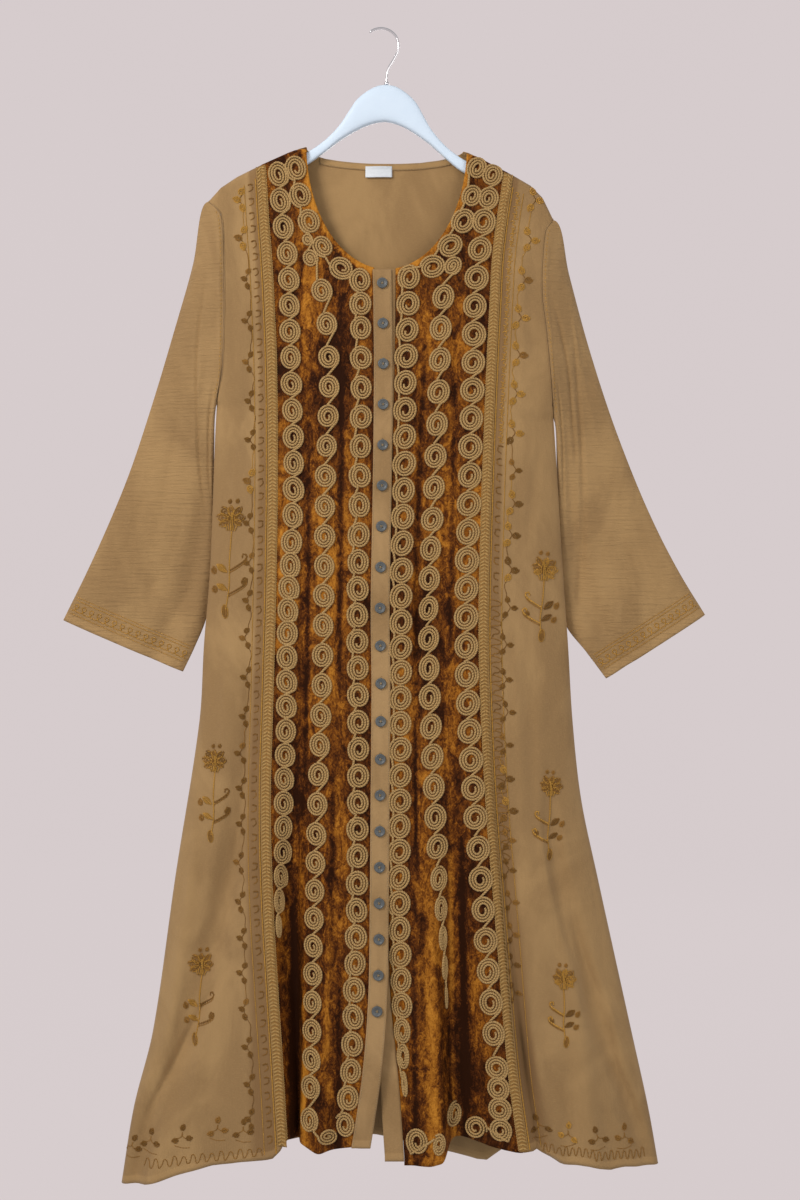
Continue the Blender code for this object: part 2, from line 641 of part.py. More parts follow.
def ribbon(name, stations, lift, thick, trees, looks, collection, start=-200.0, way=1.0):
    """A flat strip laid on the panels. Each station is the place of its left and its right edge."""
    lefts = [hit(trees, *left, start, way) for left, right in stations]
    rights = [hit(trees, *right, start, way) for left, right in stations]
    middles = [0.5 * (a + b) for a, b in zip(lefts, rights)]
    normals = []
    for k in range(len(stations)):
        along = middles[min(k + 1, len(middles) - 1)] - middles[max(k - 1, 0)]
        normal = (rights[k] - lefts[k]).cross(along).normalized()
        if normal.y * way > 0:
            normal.negate()
        normals.append(normal)
    rises = [0.0] * len(stations)
    for k in range(len(stations) - 1):
        normal = (normals[k] + normals[k + 1]).normalized()
        for down in (0.0, 0.3, 0.5, 0.7, 1.0):
            left = lefts[k].lerp(lefts[k + 1], down)
            right = rights[k].lerp(rights[k + 1], down)
            for share in (0.0, 0.25, 0.5, 0.75, 1.0):
                flat = left.lerp(right, share)
                under = hit(trees, flat.x / MM, -flat.z / MM, start, way)
                if under is not None:
                    rise = (under - flat).dot(normal)
                    rises[k] = max(rises[k], rise)
                    rises[k + 1] = max(rises[k + 1], rise)
    rings = []
    for left, right, normal, rise in zip(lefts, rights, normals, rises):
        low = normal * (lift * MM + rise)
        high = normal * ((lift + thick) * MM + rise)
        rings.append([left + low, right + low, right + high, left + high])
    return loft(name, rings, looks, collection)


def coil_centres(row, side):
    """The middles of the coils of one row, the way it runs, how far it is turned from the front, and its size."""
    places = COIL_PLACES[row]
    result = []
    if row.startswith("inner"):
        for angle in NECK_ARC_ANGLES[side]:
            turn = math.radians(angle)
            wide = NECK_HALF_WIDTH * NECK_ARC_SCALE
            deep = NECK_FRONT_DEPTH * NECK_ARC_SCALE
            x = NECK_X + side * wide * math.cos(turn)
            drop = NECK_DROP + deep * math.sin(turn)
            way = Vector((-side * wide * math.sin(turn), deep * math.cos(turn))).normalized()
            result.append((x, drop, way, 1.0, SMALL_COILS.get((row, len(result)), 1.0)))
    for number in range(places[-1].number + 1):
        drop = straight(places, "drop", number, "number")
        x = curve(LINES, row, drop)
        ahead = curve(LINES, row, drop + 8) - curve(LINES, row, drop - 8)
        left, right = strip_edges(row, drop)
        turned = 0.5 * (right[0] - left[0]) / COIL_STRIP
        size = SMALL_COILS.get((row, len(result)), 1.0)
        result.append((x, drop, Vector((ahead, 16.0)).normalized(), turned, size))
    if row == "outer_r":
        result.append((123.0, 1411.0, Vector((-1.0, 0.0)), 0.95, 1.0))
    if row == "inner_r":
        result.append((72.5, 1430.0, Vector((1.0, 0.0)), 0.95, 0.62))
    return result


def coil_row(row, trees, looks, collection):
    """One chain of flat coils of cord, as a strip that is wide at the coils and narrow at the links."""
    side = -1 if row.endswith("_l") else 1
    coils = coil_centres(row, side)
    stations = []

    def station(x, drop, way, half, turned):
        across = Vector((way[1], -way[0])) * half
        across[0] *= turned
        stations.append(((x - across[0], drop - across[1]), (x + across[0], drop + across[1])))

    for k, (x, drop, way, turned, size) in enumerate(coils):
        radius = size * COIL_RADIUS
        if k == 0:
            station(x - radius * way[0], drop - radius * way[1], way, 0.45 * radius, turned)
        for shift in (-0.62, 0.62):
            reach = shift * radius
            station(x + reach * way[0], drop + reach * way[1], way, 0.92 * radius, turned)
        if k + 1 < len(coils):
            x_next, drop_next, way_next, turned_next, size_next = coils[k + 1]
            reach = 0.5 * 0.62
            mid_x = 0.5 * (x + x_next) + reach * (radius * way[0] - size_next * COIL_RADIUS * way_next[0])
            mid_drop = 0.5 * (drop + drop_next) + reach * (radius * way[1] - size_next * COIL_RADIUS * way_next[1])
            station(mid_x, mid_drop, (way + way_next).normalized(), LINK_HALF_WIDTH, 0.5 * (turned + turned_next))
        else:
            station(x + radius * way[0], drop + radius * way[1], way, 0.45 * radius, turned)
    name = f"coils_{'left' if side < 0 else 'right'}_{row.split('_')[0]}"
    return ribbon(name, stations, LIFT, COIL_THICK, trees, looks, collection)


def braid(side, trees, looks, collection):
    """The gold braid over the seam, from the shoulder to the hem."""
    line = "braid_l" if side < 0 else "braid_r"
    top = top_drop(lambda drop: curve(LINES, line, drop))
    low = hem_drop(lambda drop: curve(LINES, line, drop), FRONT_HEM) - 1.5
    rows = [top + 3.5, top + RIDGE_ROUND, top + 20]
    rows += [drop for drop in VELVET_DROPS if top + 30 < drop < low - 20] + [low]
    stations = []
    for drop in rows:
        x = curve(LINES, line, drop)
        level = 1 - smoothstep(RIDGE_ROUND, 60, drop - top)
        slope = level * (shoulder(x + 5.8) - shoulder(x - 5.8)) / 2
        stations.append(((x - 5.8, drop - slope), (x + 5.8, drop + slope)))
    name = "braid_left" if side < 0 else "braid_right"
    return ribbon(name, stations, LIFT, BRAID_THICK, trees, looks, collection)


def band(name, left, right, near, far, drops, looks, collection):
    """A placket band: a flat strip that follows its own half of the front."""
    rings = []
    for drop in drops:
        x0, x1 = left(drop), right(drop)
        rings.append([point(x, y(x, drop), drop) for x, y in ((x0, far), (x1, far), (x1, near), (x0, near))])
    return loft(name, rings, looks, collection)


def placket(looks, collection):
    """The buttoned band and the band behind it. They part towards the hem."""
    hem = hem_drop(lambda drop: curve(LINES, "band", drop) + 12, FRONT_HEM)
    drops = [NECK_DROP + NECK_FRONT_DEPTH + 0.6, *[d for d in VELVET_DROPS if d > 330], hem]

    def left(drop):
        return curve(LINES, "band", drop)

    def right(drop):
        return curve(LINES, "band", drop) + BAND_WIDTH

    def outer_near(x, drop):
        return outer_far(x, drop) - BAND_THICK

    def outer_far(x, drop):
        edge = curve(LINES, "band", drop)
        return front_y(edge, drop, -1) + 0.02 * (edge - x) - 2 * SEAM

    outer = band("placket_outer", left, right, outer_near, outer_far, drops, looks, collection)

    def under_left(drop):
        under = curve(LINES, "under", drop)
        return max(under - BAND_WIDTH, curve(LINES, "band", drop) + BAND_LAP + 2 * SEAM)

    def under_right(drop):
        return curve(LINES, "under", drop) - SEAM

    def under_near(x, drop):
        return front_y(x, drop, 1)

    def under_far(x, drop):
        return front_y(x, drop, 1) + BAND_THICK

    under_drops = [NECK_DROP + NECK_FRONT_DEPTH + 0.2, *drops[1:-1],
                   hem_drop(lambda drop: curve(LINES, "under", drop) - 12, FRONT_HEM)]
    under = band("placket_under", under_left, under_right, under_near, under_far, under_drops, looks, collection)
    return outer, under


def button(number, trees, looks, collection):
    """One round button, a turned profile set on the outer band."""
    drop = straight(BUTTON_PLACES, "drop", number, "number")
    x = curve(LINES, "band", drop) + 0.5 * BAND_WIDTH
    place = hit(trees, x, drop)
    rise = hit(trees, x, drop - 8) - hit(trees, x, drop + 8)
    across = hit(trees, x + 7, drop) - hit(trees, x - 7, drop)
    normal = rise.cross(across).normalized()
    if normal.y > 0:
        normal.negate()
    profile = ((0.0, 2.6), (5.6, 2.6), (BUTTON_RADIUS, 1.6), (BUTTON_RADIUS - 0.6, 0.0), (0.0, 0.0))
    mesh = bpy.data.meshes.new(f"button_{number + 1:02d}")
    points = [(radius * MM, 0.0, height * MM) for radius, height in profile]
    mesh.from_pydata(points, [(k, k + 1) for k in range(len(points) - 1)], [])
    result = add_object(f"button_{number + 1:02d}", mesh, looks, collection)
    turned = result.modifiers.new("turned", "SCREW")
    turned.steps = 10
    turned.render_steps = 10
    turned.use_merge_vertices = True
    turned.merge_threshold = 0.0001
    turned.use_normal_calculate = True
    result.rotation_mode = "QUATERNION"
    result.rotation_quaternion = normal.to_track_quat("Z", "Y")
    result.location = place + normal * (2 * SEAM * MM)
    return result


def neck_edge_drop(x, depth):
    return NECK_DROP + depth * math.sqrt(max(1 - ((x - NECK_X) / NECK_HALF_WIDTH) ** 2, 0.0))


def neck_binding(trees, looks, collection):
    """The narrow binding inside the back neck."""
    stations = []
    for x in (-80, -70, -55, -38, -16, 8, 30, 52, 70, 84, 94):
        top = neck_edge_drop(x, NECK_BACK_DEPTH) + 0.9
        stations.append(((x, top), (x, top + 8.5)))
    return ribbon("neck_binding", stations, 2 * SEAM, 1.2, trees, looks, collection, start=0.0, way=1.0)


def neck_label(trees, looks, collection):
    """The small label sewn on the binding, left blank."""
    stations = [((-20, 176), (-20, 190)), ((14, 176), (14, 190))]
    return ribbon("neck_label", stations, 1.9, 0.9, trees, looks, collection, start=0.0, way=1.0)


def hanger(wood_looks, metal_looks, collection):
    """The wooden hanger in one piece and its wire hook."""
    tilt = math.radians(HANGER_TILT)
    rings = []
    for row in [*WOOD[:0:-1], *WOOD]:
        sign = -1 if len(rings) < len(WOOD) - 1 else 1
        ring = []
        round_off = 0.42 * row.half
        half_up = 0.5 * (row.low - row.top)
        for y, v in ((-row.half, row.top + round_off), (round_off - row.half, row.top),
                     (row.half - round_off, row.top), (row.half, row.top + round_off),
                     (row.half, row.low - round_off), (row.half - round_off, row.low),
                     (round_off - row.half, row.low), (-row.half, row.low - round_off)):
            v = min(max(v, row.top), row.low) if half_up > round_off else 0.5 * (row.top + row.low) + (v > row.top)
            u = sign * row.out
            x = HANGER_X + u * math.cos(tilt) - v * math.sin(tilt)
            drop = HANGER_DROP + v * math.cos(tilt) + u * math.sin(tilt)
            ring.append(point(x, y, drop))
        rings.append(ring)
    body = loft("hanger_body", rings, wood_looks, collection)
    wire = bpy.data.curves.new("hanger_hook", "CURVE")
    wire.dimensions = "3D"
    wire.bevel_depth = WIRE_RADIUS * MM
    wire.bevel_resolution = 2
    wire.use_fill_caps = True
    path = []
    for degrees in range(130, -26, -13):
        turn = math.radians(degrees)
        path.append((HOOK_RADIUS * math.cos(turn), HOOK_RADIUS - WIRE_RADIUS - HOOK_RADIUS * math.sin(turn)))
    path += [(15.5, 41.0), (10.5, 49.0), (8.2, 57.0), (HANGER_X, HANGER_DROP - 2 * SEAM)]
    spline = wire.splines.new("POLY")
    spline.points.add(len(path) - 1)
    for corner, (x, drop) in zip(spline.points, path):
        corner.co = (*point(x, 0.0, drop), 1.0)
    hook = bpy.data.objects.new("hanger_hook", wire)
    wire.materials.append(metal_looks)
    collection.objects.link(hook)
    return body, hook


def build():
    for old in list(bpy.data.objects):
        bpy.data.objects.remove(old, do_unlink=True)
    parts = bpy.data.collections.new("kaftan on a hanger")
    cutters = bpy.data.collections.new("cutters")
    bpy.context.scene.collection.children.link(parts)
    bpy.context.scene.collection.children.link(cutters)
    rayon = material("rayon", 0.8)
    velvet = material("velvet", 0.6)
    cord = material("cord", 0.7)
    gold = material("gold", 0.5)
    slate = material("button", 0.35)
    white = material("white", 0.45)
    chrome = material("chrome", 0.15, 1.0)

    front_neck = neck_cutter("front_neck_cutter", NECK_FRONT_DEPTH, -60.0, 0.0, cutters)
    back_neck = neck_cutter("back_neck_cutter", NECK_BACK_DEPTH, 0.0, 60.0, cutters)
    velvets = []
    rayons = []
    for side in (-1, 1):
        panel = velvet_panel(side, velvet, parts)
        cut(panel, front_neck)
        velvets.append(panel)
        rayons.append(side_panel(side, rayon, parts))
        sleeve(side, rayon, parts)
    back = back_panel(rayon, parts)
    cut(back, back_neck)

    velvet_faces = face_tree(velvets)
    front_faces = face_tree([*velvets, *rayons])
    back_face = face_tree([back])
    for row in COIL_PLACES:
        coil_row(row, velvet_faces, cord, parts)
    for side in (-1, 1):
        braid(side, front_faces, gold, parts)
    outer, under = placket(rayon, parts)
    band_face = face_tree([outer])
    for number in range(BUTTON_PLACES[-1].number + 1):
        button(number, band_face, slate, parts)
    neck_binding(back_face, rayon, parts)
    neck_label(back_face, white, parts)
    hanger(white, chrome, parts)


build()
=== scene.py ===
"""Looks of a long embroidered kaftan that hangs from a painted wooden hanger.

The tables are in millimetres. x runs to the viewer's right, y away from the viewer, and drop is how far a
point lies below the seat of the hanger's hook. Left and right are the viewer's. MM turns them into metres.
"""
import math
from collections import namedtuple

import bmesh
import bpy
import numpy as np
from bpy.props import FloatProperty, FloatVectorProperty, PointerProperty
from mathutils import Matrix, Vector, noise
from mathutils.bvhtree import BVHTree


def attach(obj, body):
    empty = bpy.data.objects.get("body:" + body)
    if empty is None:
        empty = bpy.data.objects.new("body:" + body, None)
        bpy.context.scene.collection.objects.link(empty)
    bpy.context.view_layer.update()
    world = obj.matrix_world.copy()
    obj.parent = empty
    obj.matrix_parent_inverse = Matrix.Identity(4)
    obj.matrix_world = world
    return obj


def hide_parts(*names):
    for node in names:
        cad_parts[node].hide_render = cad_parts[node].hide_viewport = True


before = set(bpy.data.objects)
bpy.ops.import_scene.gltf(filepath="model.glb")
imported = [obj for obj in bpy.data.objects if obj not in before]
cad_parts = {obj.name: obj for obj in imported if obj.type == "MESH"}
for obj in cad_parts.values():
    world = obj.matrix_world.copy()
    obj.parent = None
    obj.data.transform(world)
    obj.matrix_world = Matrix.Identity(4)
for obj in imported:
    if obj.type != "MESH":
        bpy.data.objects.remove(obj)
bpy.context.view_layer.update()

bl_info = {
    "name": "Kaftan looks",
    "version": (1, 0, 0),
    "blender": (4, 5, 0),
    "location": "3D View > Sidebar > Kaftan",
    "description": "Cloth, cord, braid, embroidery, buttons and hanger of a long kaftan",
    "category": "Object",
}

MM = 0.001
BODY = "root"
SIDES = ((-1, "left"), (1, "right"))
LETTER = {-1: "l", 1: "r"}

# The form of the garment, as its solids have it
SEAM = 0.15
BRAID_SEAM = 0.4
RIDGE = 2.0
RIDGE_ROUND = 9.0
NECK_X = 7.5
NECK_DROP = 153.0
NECK_HALF_WIDTH = 104.0
NECK_FRONT_DEPTH = 161.0
NECK_BACK_DEPTH = 19.0
ARM_HALF_THICK = 12.0
BAND_WIDTH = 24.5
BAND_LAP = 2.5
BRAID_HALF_WIDTH = 6.3
COIL_STRIP = 13.2
NECK_ARC_SCALE = 1.14
BINDING_WIDTH = 8.9
HOOK_RADIUS = 23.0
WIRE_RADIUS = 1.65
HANGER_TILT = 2.2
HANGER_X = 7.5
HANGER_DROP = 72.0

def table(kind, *rows):
    return [kind(*row) for row in rows]


Outline = namedtuple("Outline", "drop x")
LEFT_EDGE = table(Outline,
    (224, -224), (233, -214), (243, -207), (300, -203), (440, -205), (486, -213), (700, -222), (800, -230),
    (900, -236), (1100, -267), (1300, -296), (1400, -321), (1498, -337))
RIGHT_EDGE = table(Outline,
    (248, 224), (257, 217), (266, 213), (310, 209), (350, 209), (400, 215), (505, 224), (700, 236),
    (800, 243), (900, 249), (1000, 260), (1100, 281), (1300, 325), (1400, 347), (1473, 360))
UNDERARM = {-1: 486, 1: 505}

Ridge = namedtuple("Ridge", "x drop")
SHOULDERS = table(Ridge,
    (-224, 224), (-208, 206), (-187, 192), (-152, 174.5), (-126, 162.5), (-100, 152.5), (110, 158.5),
    (129, 167.5), (170, 189), (194, 203), (210, 219), (224, 248))

Depth = namedtuple("Depth", "drop front back")
DEPTHS = table(Depth,
    (140, 10, 10), (260, 11, 11), (400, 17, 15), (600, 24, 20), (900, 33, 28), (1200, 41, 34),
    (1490, 47, 39))

# The x of each long line of the front: the braids, the coil rows, and the outer edges of the two bands
Lines = namedtuple("Lines", "drop braid_l outer_l middle_l inner_l "
                            "band under inner_r middle_r outer_r braid_r")
LINES = table(Lines,
    (150, -158, -134.5, -99, -37, -11, 17, 42, 112, 147, 168),
    (200, -154, -132, -98, -35, -11, 17, 41, 107, 142.5, 163.5),
    (250, -151, -128, -97, -32, -11, 18, 40, 100, 133, 156),
    (300, -147, -121, -91, -28, -11, 18.5, 37.5, 95, 126, 150),
    (350, -144, -119, -75, -25.5, -10, 19, 36, 80, 121, 147),
    (450, -140, -116, -67, -24.5, -9, 17.5, 33, 75, 118, 142),
    (600, -139, -112.5, -72, -26, -10.5, 14, 30, 67.5, 113, 136),
    (750, -141, -119.5, -73.5, -29, -13, 12, 26.5, 61, 109, 132),
    (850, -143.5, -121, -76, -28, -12, 11.5, 26, 62, 110, 133),
    (1000, -147, -125, -81, -28, -13, 10.5, 25, 68, 119, 140),
    (1125, -144, -127, -85, -29.5, -14, 9.5, 24, 75, 129.5, 150),
    (1250, -136.5, -121, -87, -33, -16, 12.5, 28, 79.5, 140, 160),
    (1350, -130, -115.5, -89, -38, -24, 22.5, 36, 82.5, 148, 169),
    (1450, -124, -111.5, -92, -51, -39, 30, 50, 86.5, 156, 183))

# How deep the creased lines of the front lie behind the smooth form, at these drops
CREASE_DROPS = (300, 650, 760, 860, 1000, 1125, 1250, 1350, 1450)
CREASES = {
    "braid_l_out": (0, 0, 0, 0, 0, 0, 0, 0, 0),
    "braid_l_in": (0, 0, 0, 0, 0, 0, 0, 0, 0),
    "outer_l_out": (0, 0, 0, 0, 0, 2, 2, 2, 1),
    "outer_l_in": (0, 0, 1, 4, 12, 21, 23, 24, 25),
    "valley_l": (0, 1, 2, 5, 13, 23, 25, 26, 27),
    "middle_l_out": (0, 0, 0, 2, 5, 8, 8, 8, 8),
    "middle_l_in": (0, 0, 0, 0, 0, -1, -3, -4, -4),
    "inner_l_out": (0, 0, 0, 0, 0, 2, 6, 9, 10),
    "inner_l_in": (0, 0, 0, 0, 0, 0, 2, 3, 4),
    "inner_r_in": (0, 0, 0, 0, 0, 2, 10, 12, 3),
    "inner_r_out": (0, 0, 0, 0, 0, -1, -2, -3, -4),
    "middle_r_in": (0, 3, 9, 4, 0, -3, -4, -5, -5),
    "middle_r_out": (0, -1, -3, -1, 1, 9, 18, 19, 19),
    "valley_r": (0, 0, 0, 1, 4, 13, 22, 25, 26),
    "outer_r_in": (0, 0, 0, 0, 2, 4, 7, 8, 8),
    "outer_r_out": (0, 0, 0, 0, 0, -1, -2, -2, -1),
    "braid_r_in": (0, 0, 0, 0, 1, 1, 0, 0, 0),
    "braid_r_out": (0, 0, 0, 2, 7, 8, 6, 2, 0),
}
VALLEY_PLACE = {-1: 0.45, 1: 0.22}
# How wide the smooth edge of the velvet is round the neck
NECK_EDGE = 7.0

Fold = namedtuple("Fold", "start x_start middle x_middle x_hem half_width depth")
SIDE_FOLDS = {
    -1: table(Fold, (700, -178, 1080, -192, -318, 36, 12), (900, -222, 1200, -262, -290, 26, -5)),
    1: table(Fold,
        (980, 158, 1250, 170, 220, 20, 14), (1050, 222, 1250, 250, 272, 26, -7),
        (880, 206, 1160, 246, 352, 24, 10)),
}
BACK_FOLDS = table(Fold,
    (420, -80, 950, -96, -150, 34, 11), (520, 60, 980, 84, 120, 36, 12),
    (800, -190, 1120, -216, -262, 32, 9), (760, 190, 1120, 222, 268, 32, 9),
    (1020, -10, 1240, -14, -24, 26, 8))

Hem = namedtuple("Hem", "x drop")
FRONT_HEM = table(Hem,
    (-336, 1498), (-304, 1493), (-259, 1477), (-216, 1463), (-181, 1458), (-138, 1453), (-128, 1443),
    (-119, 1428), (-108, 1431), (-98, 1439), (-88, 1444), (-77, 1447), (-57, 1442), (-40, 1438),
    (-16, 1440), (28, 1461), (77, 1461), (84, 1452), (90, 1430), (104, 1430), (111, 1437), (142, 1440),
    (166, 1443), (176, 1446), (198, 1443), (214, 1454), (230, 1461), (267, 1463.5), (294, 1471),
    (311, 1468.5), (360, 1473))
BACK_HEM = table(Hem,
    (-336, 1498), (-240, 1473), (-100, 1452), (-18, 1446), (18, 1455), (86, 1471), (113, 1474),
    (137, 1481), (146, 1480), (157, 1468), (190, 1456), (250, 1460), (360, 1473))

Ring = namedtuple("Ring", "out_x out_drop in_x in_drop middle half")
SLEEVES = {
    -1: table(Ring,
        (-224, 224, -213, 486, 0, 12), (-245, 305, -217.5, 540, 5, 12), (-270, 390, -218, 602, 10, 11),
        (-297, 478, -216.5, 662, 14, 10.5), (-326, 566, -219.5, 715, 15, 10),
        (-352, 632, -229, 765, 14, 10), (-383, 702, -244, 803, 12, 10.5), (-415, 768, -259, 835, 10, 11)),
    1: table(Ring,
        (224, 248, 224, 505, 0, 12), (245, 318, 229, 562, 5, 12), (270, 408, 229, 622, 10, 11),
        (300, 500, 227, 682, 14, 10.5), (332, 584, 230, 732, 15, 10), (361, 650, 242, 775, 14, 10),
        (391, 708, 268, 809, 12, 10.5), (423, 761, 294, 844, 10, 11)),
}
SleeveFold = namedtuple("SleeveFold", "place_top place_cuff start half_width depth")
SLEEVE_FOLDS = {
    -1: table(SleeveFold, (0.84, 0.76, 0.15, 0.16, 4.5)),
    1: table(SleeveFold, (0.62, 0.80, 0.10, 0.15, 5.5)),
}
SLEEVE_LONG = 560.0
ARM_SHARES = (0.06, 0.14, 0.26, 0.42, 0.6, 0.76, 0.88, 0.95, 0.985, 1.0)
SLEEVE_SHARES = (0.0, 0.012, 0.03, 0.055, 0.1, 0.17, 0.28, 0.43, 0.6, 0.76, 0.88, 0.945, 0.983, 1.0)

Place = namedtuple("Place", "number drop")
COIL_PLACES = {
    "outer_l": table(Place, (0, 192), (14, 668), (18, 785), (36, 1346)),
    "middle_l": table(Place,
        (0, 277), (1, 301), (2, 343), (4, 429), (12, 737), (20, 1042), (29, 1362), (30, 1404)),
    "inner_l": table(Place, (0, 329), (2, 392), (9, 659), (31, 1411)),
    "inner_r": table(Place, (0, 325), (11, 705), (30, 1325), (33, 1430)),
    "middle_r": table(Place, (0, 310), (8, 639), (21, 1133), (28, 1397)),
    "outer_r": table(Place, (0, 191), (2, 253), (23, 1020), (31, 1334), (34, 1413)),
}
# By row and the coil's place in it: the size of the small ones
SMALL_COILS = {"middle_l": {0: 0.5, 1: 0.72}, "inner_l": {3: 0.9}, "middle_r": {0: 0.75},
               "outer_r": {0: 0.85, 1: 0.85}, "inner_r": {0: 0.85, 1: 0.85}}
# The coils on a fold's side: how far they have gone over with it, how far down, and how narrow they look
Folded = namedtuple("Folded", "x drop turned")
FOLDED_COILS = {
    "outer_l": {28: (-2, 0, 0.85), 29: (-4, 0, 0.62), 30: (-5, 0, 0.4)},
    "inner_r": {34: (-2, 0, 0.85), 35: (-4, 0, 0.6), 36: (-6.5, 0, 0.28)},
    "middle_r": {20: (0, 3, 0.8), 21: (1, 4, 0.62), 22: (2, 4, 0.42), 23: (3, 4, 0.3), 24: (4, 4, 0.16),
                 28: (10, 5, 1.9)},
    "outer_r": {31: (1, 4, 1.0), 32: (1, 4, 1.0), 33: (1, 4.5, 1.0), 34: (0, 5, 1.0)},
}
# The coils that the folds hide, which aren't laid
HIDDEN_COILS = {"outer_l": range(31, 37), "middle_r": range(25, 28), "inner_r": range(37, 38)}
# Coils beside the hem that belong to no even row: x, drop, the way they run, how they are turned, their size
Coil = namedtuple("Coil", "x drop way turned size")
STRAY_COILS = {"outer_r": Coil(122.0, 1418.0, Vector((-1.0, 0.0)), 0.95, 1.0),
               "inner_r": Coil(74.0, 1433.0, Vector((0.0, 1.0)), 0.66, 0.88),
               "middle_l": Coil(-67.0, 1424.5, Vector((1.0, 0.3)).normalized(), 0.95, 0.82)}
NECK_ARC_ANGLES = {-1: (9.7, 21.0, 32.8, 45.9, 60.4), 1: (9.3, 21.3, 33.0, 46.1, 60.0)}
BUTTON_PLACES = table(Place, (0, 333), (8, 752), (12, 945), (19, 1265))

Wood = namedtuple("Wood", "out top low half")
WOOD = table(Wood,
    (0, 0, 48, 7), (12, 2, 50, 7), (26, 10, 55, 7), (39, 22, 62, 7), (50, 40, 69, 6.5), (60, 56, 76, 6),
    (79, 76.5, 92, 4.8), (102, 92.5, 109, 4.6), (133, 104.2, 121, 4.8), (160, 117.2, 133.5, 5),
    (193, 137.5, 150, 5), (198, 142, 152, 4.6), (201, 146, 150, 4))

# Small creases that only the finer cloth has: the path through three points, the half width and the depth
Crease = namedtuple("Crease", "drop_1 x_1 drop_2 x_2 drop_3 x_3 half_width depth")
SIDE_CREASES = {
    -1: table(Crease,
        (1180, -182, 1294, -245.4, 1450, -321, 8, 4.5), (780, -172, 1000, -178, 1180, -208, 10, 2.6),
        (560, -208, 640, -200, 760, -206, 9, 1.4), (300, -186, 380, -180, 470, -188, 10, -1.2),
        (1000, -158, 1160, -166, 1330, -172, 12, -2.0), (1180, -205, 1280, -222, 1400, -250, 9, -1.6),
        (820, -200, 930, -206, 1040, -222, 10, -1.5), (490, -206, 530, -196, 580, -176, 8, 1.3)),
    1: table(Crease,
        (1325, 292, 1380, 320, 1450, 345, 5, 3.6), (985, 205, 1100, 221, 1240, 257, 8, 4.6),
        (1135, 242, 1190, 256.5, 1275, 295, 5, 2.6), (1320, 268, 1379, 295, 1445, 325, 5, 2.0),
        (1240, 168, 1337, 183, 1540, 214, 5, 7.0), (1250, 190, 1322, 212, 1430, 266, 14, 2.4),
        (820, 204, 1000, 208, 1180, 222, 12, -2.0), (1036, 262, 1092, 271, 1165, 282, 5, 3.4),
        (1000, 228, 1120, 240, 1260, 262, 10, -1.8), (520, 214, 600, 196, 690, 190, 9, 1.3),
        (280, 186, 360, 182, 450, 190, 10, -1.2), (760, 176, 900, 178, 1040, 186, 11, -1.6),
        (1240, 292, 1320, 306, 1400, 322, 8, -1.5)),
}
VELVET_CREASES = {
    -1: table(Crease,
        (380, -96, 470, -92, 560, -94, 6, 1.2), (560, -48, 700, -50, 860, -52, 8, 1.6),
        (700, -98, 850, -100, 1000, -104, 6, 1.2), (900, -54, 1080, -56, 1280, -64, 9, 2.2),
        (1100, -110, 1200, -106, 1300, -103, 5, 1.0), (420, -50, 500, -46, 600, -49, 6, -1.0)),
    1: table(Crease,
        (420, 56, 560, 50, 700, 46, 7, 1.8), (620, 88, 740, 86, 860, 84, 8, -1.6),
        (860, 44, 1000, 46, 1160, 52, 8, 1.8), (1020, 50, 1180, 56, 1380, 62, 9, 2.2),
        (380, 98, 480, 96, 600, 92, 7, 1.2), (900, 90, 1000, 92, 1100, 100, 6, 1.2)),
}
# Bands along the velvet's folds, partly crushed pile and partly painted shade in the folds and painted
# highlights on their ridges: dark where the depth is below nothing and bright where it is above
VELVET_NAP_AND_FOLD_SHADING = {
    -1: table(Crease,
        (1080, -112, 1280, -111, 1560, -117, 9, -1.3), (1180, -68, 1300, -68, 1560, -68, 9, 0.8),
        (1190, -52, 1300, -53, 1560, -52, 6, -0.9), (1180, -98, 1300, -98, 1560, -99, 5, 0.9),
        (380, -50, 620, -52, 900, -54, 7, -0.8), (560, -92, 760, -94, 1040, -100, 6, -0.7),
        (900, -60, 1040, -62, 1200, -64, 7, -0.7), (300, -100, 400, -98, 520, -94, 7, 0.5)),
    1: table(Crease,
        (640, 60, 765, 60, 890, 58, 6, -0.9), (880, 44, 1000, 45, 1120, 47, 5, -0.9),
        (1020, 88, 1200, 91, 1560, 96, 6, 0.9), (1020, 102, 1230, 106, 1560, 112, 7, -1.2),
        (1120, 41, 1280, 43, 1560, 46, 6, -0.6), (1060, 60, 1240, 65, 1560, 69, 15, 0.75),
        (360, 60, 520, 52, 700, 46, 6, -0.6), (420, 96, 620, 92, 860, 86, 6, -0.6)),
}
BACK_CREASES = table(Crease,
    (360, -150, 500, -120, 640, -112, 14, 2.2), (380, 150, 520, 128, 680, 118, 14, 2.2),
    (900, 30, 1100, 36, 1400, 40, 12, 2.5), (1040, -120, 1200, -126, 1440, -140, 10, 2.0),
    (1000, 168, 1200, 180, 1440, 196, 11, 2.2), (600, -30, 800, -36, 1000, -34, 14, -1.8),
    (520, -200, 600, -180, 700, -176, 10, 1.5), (530, 206, 620, 190, 720, 184, 10, 1.5))
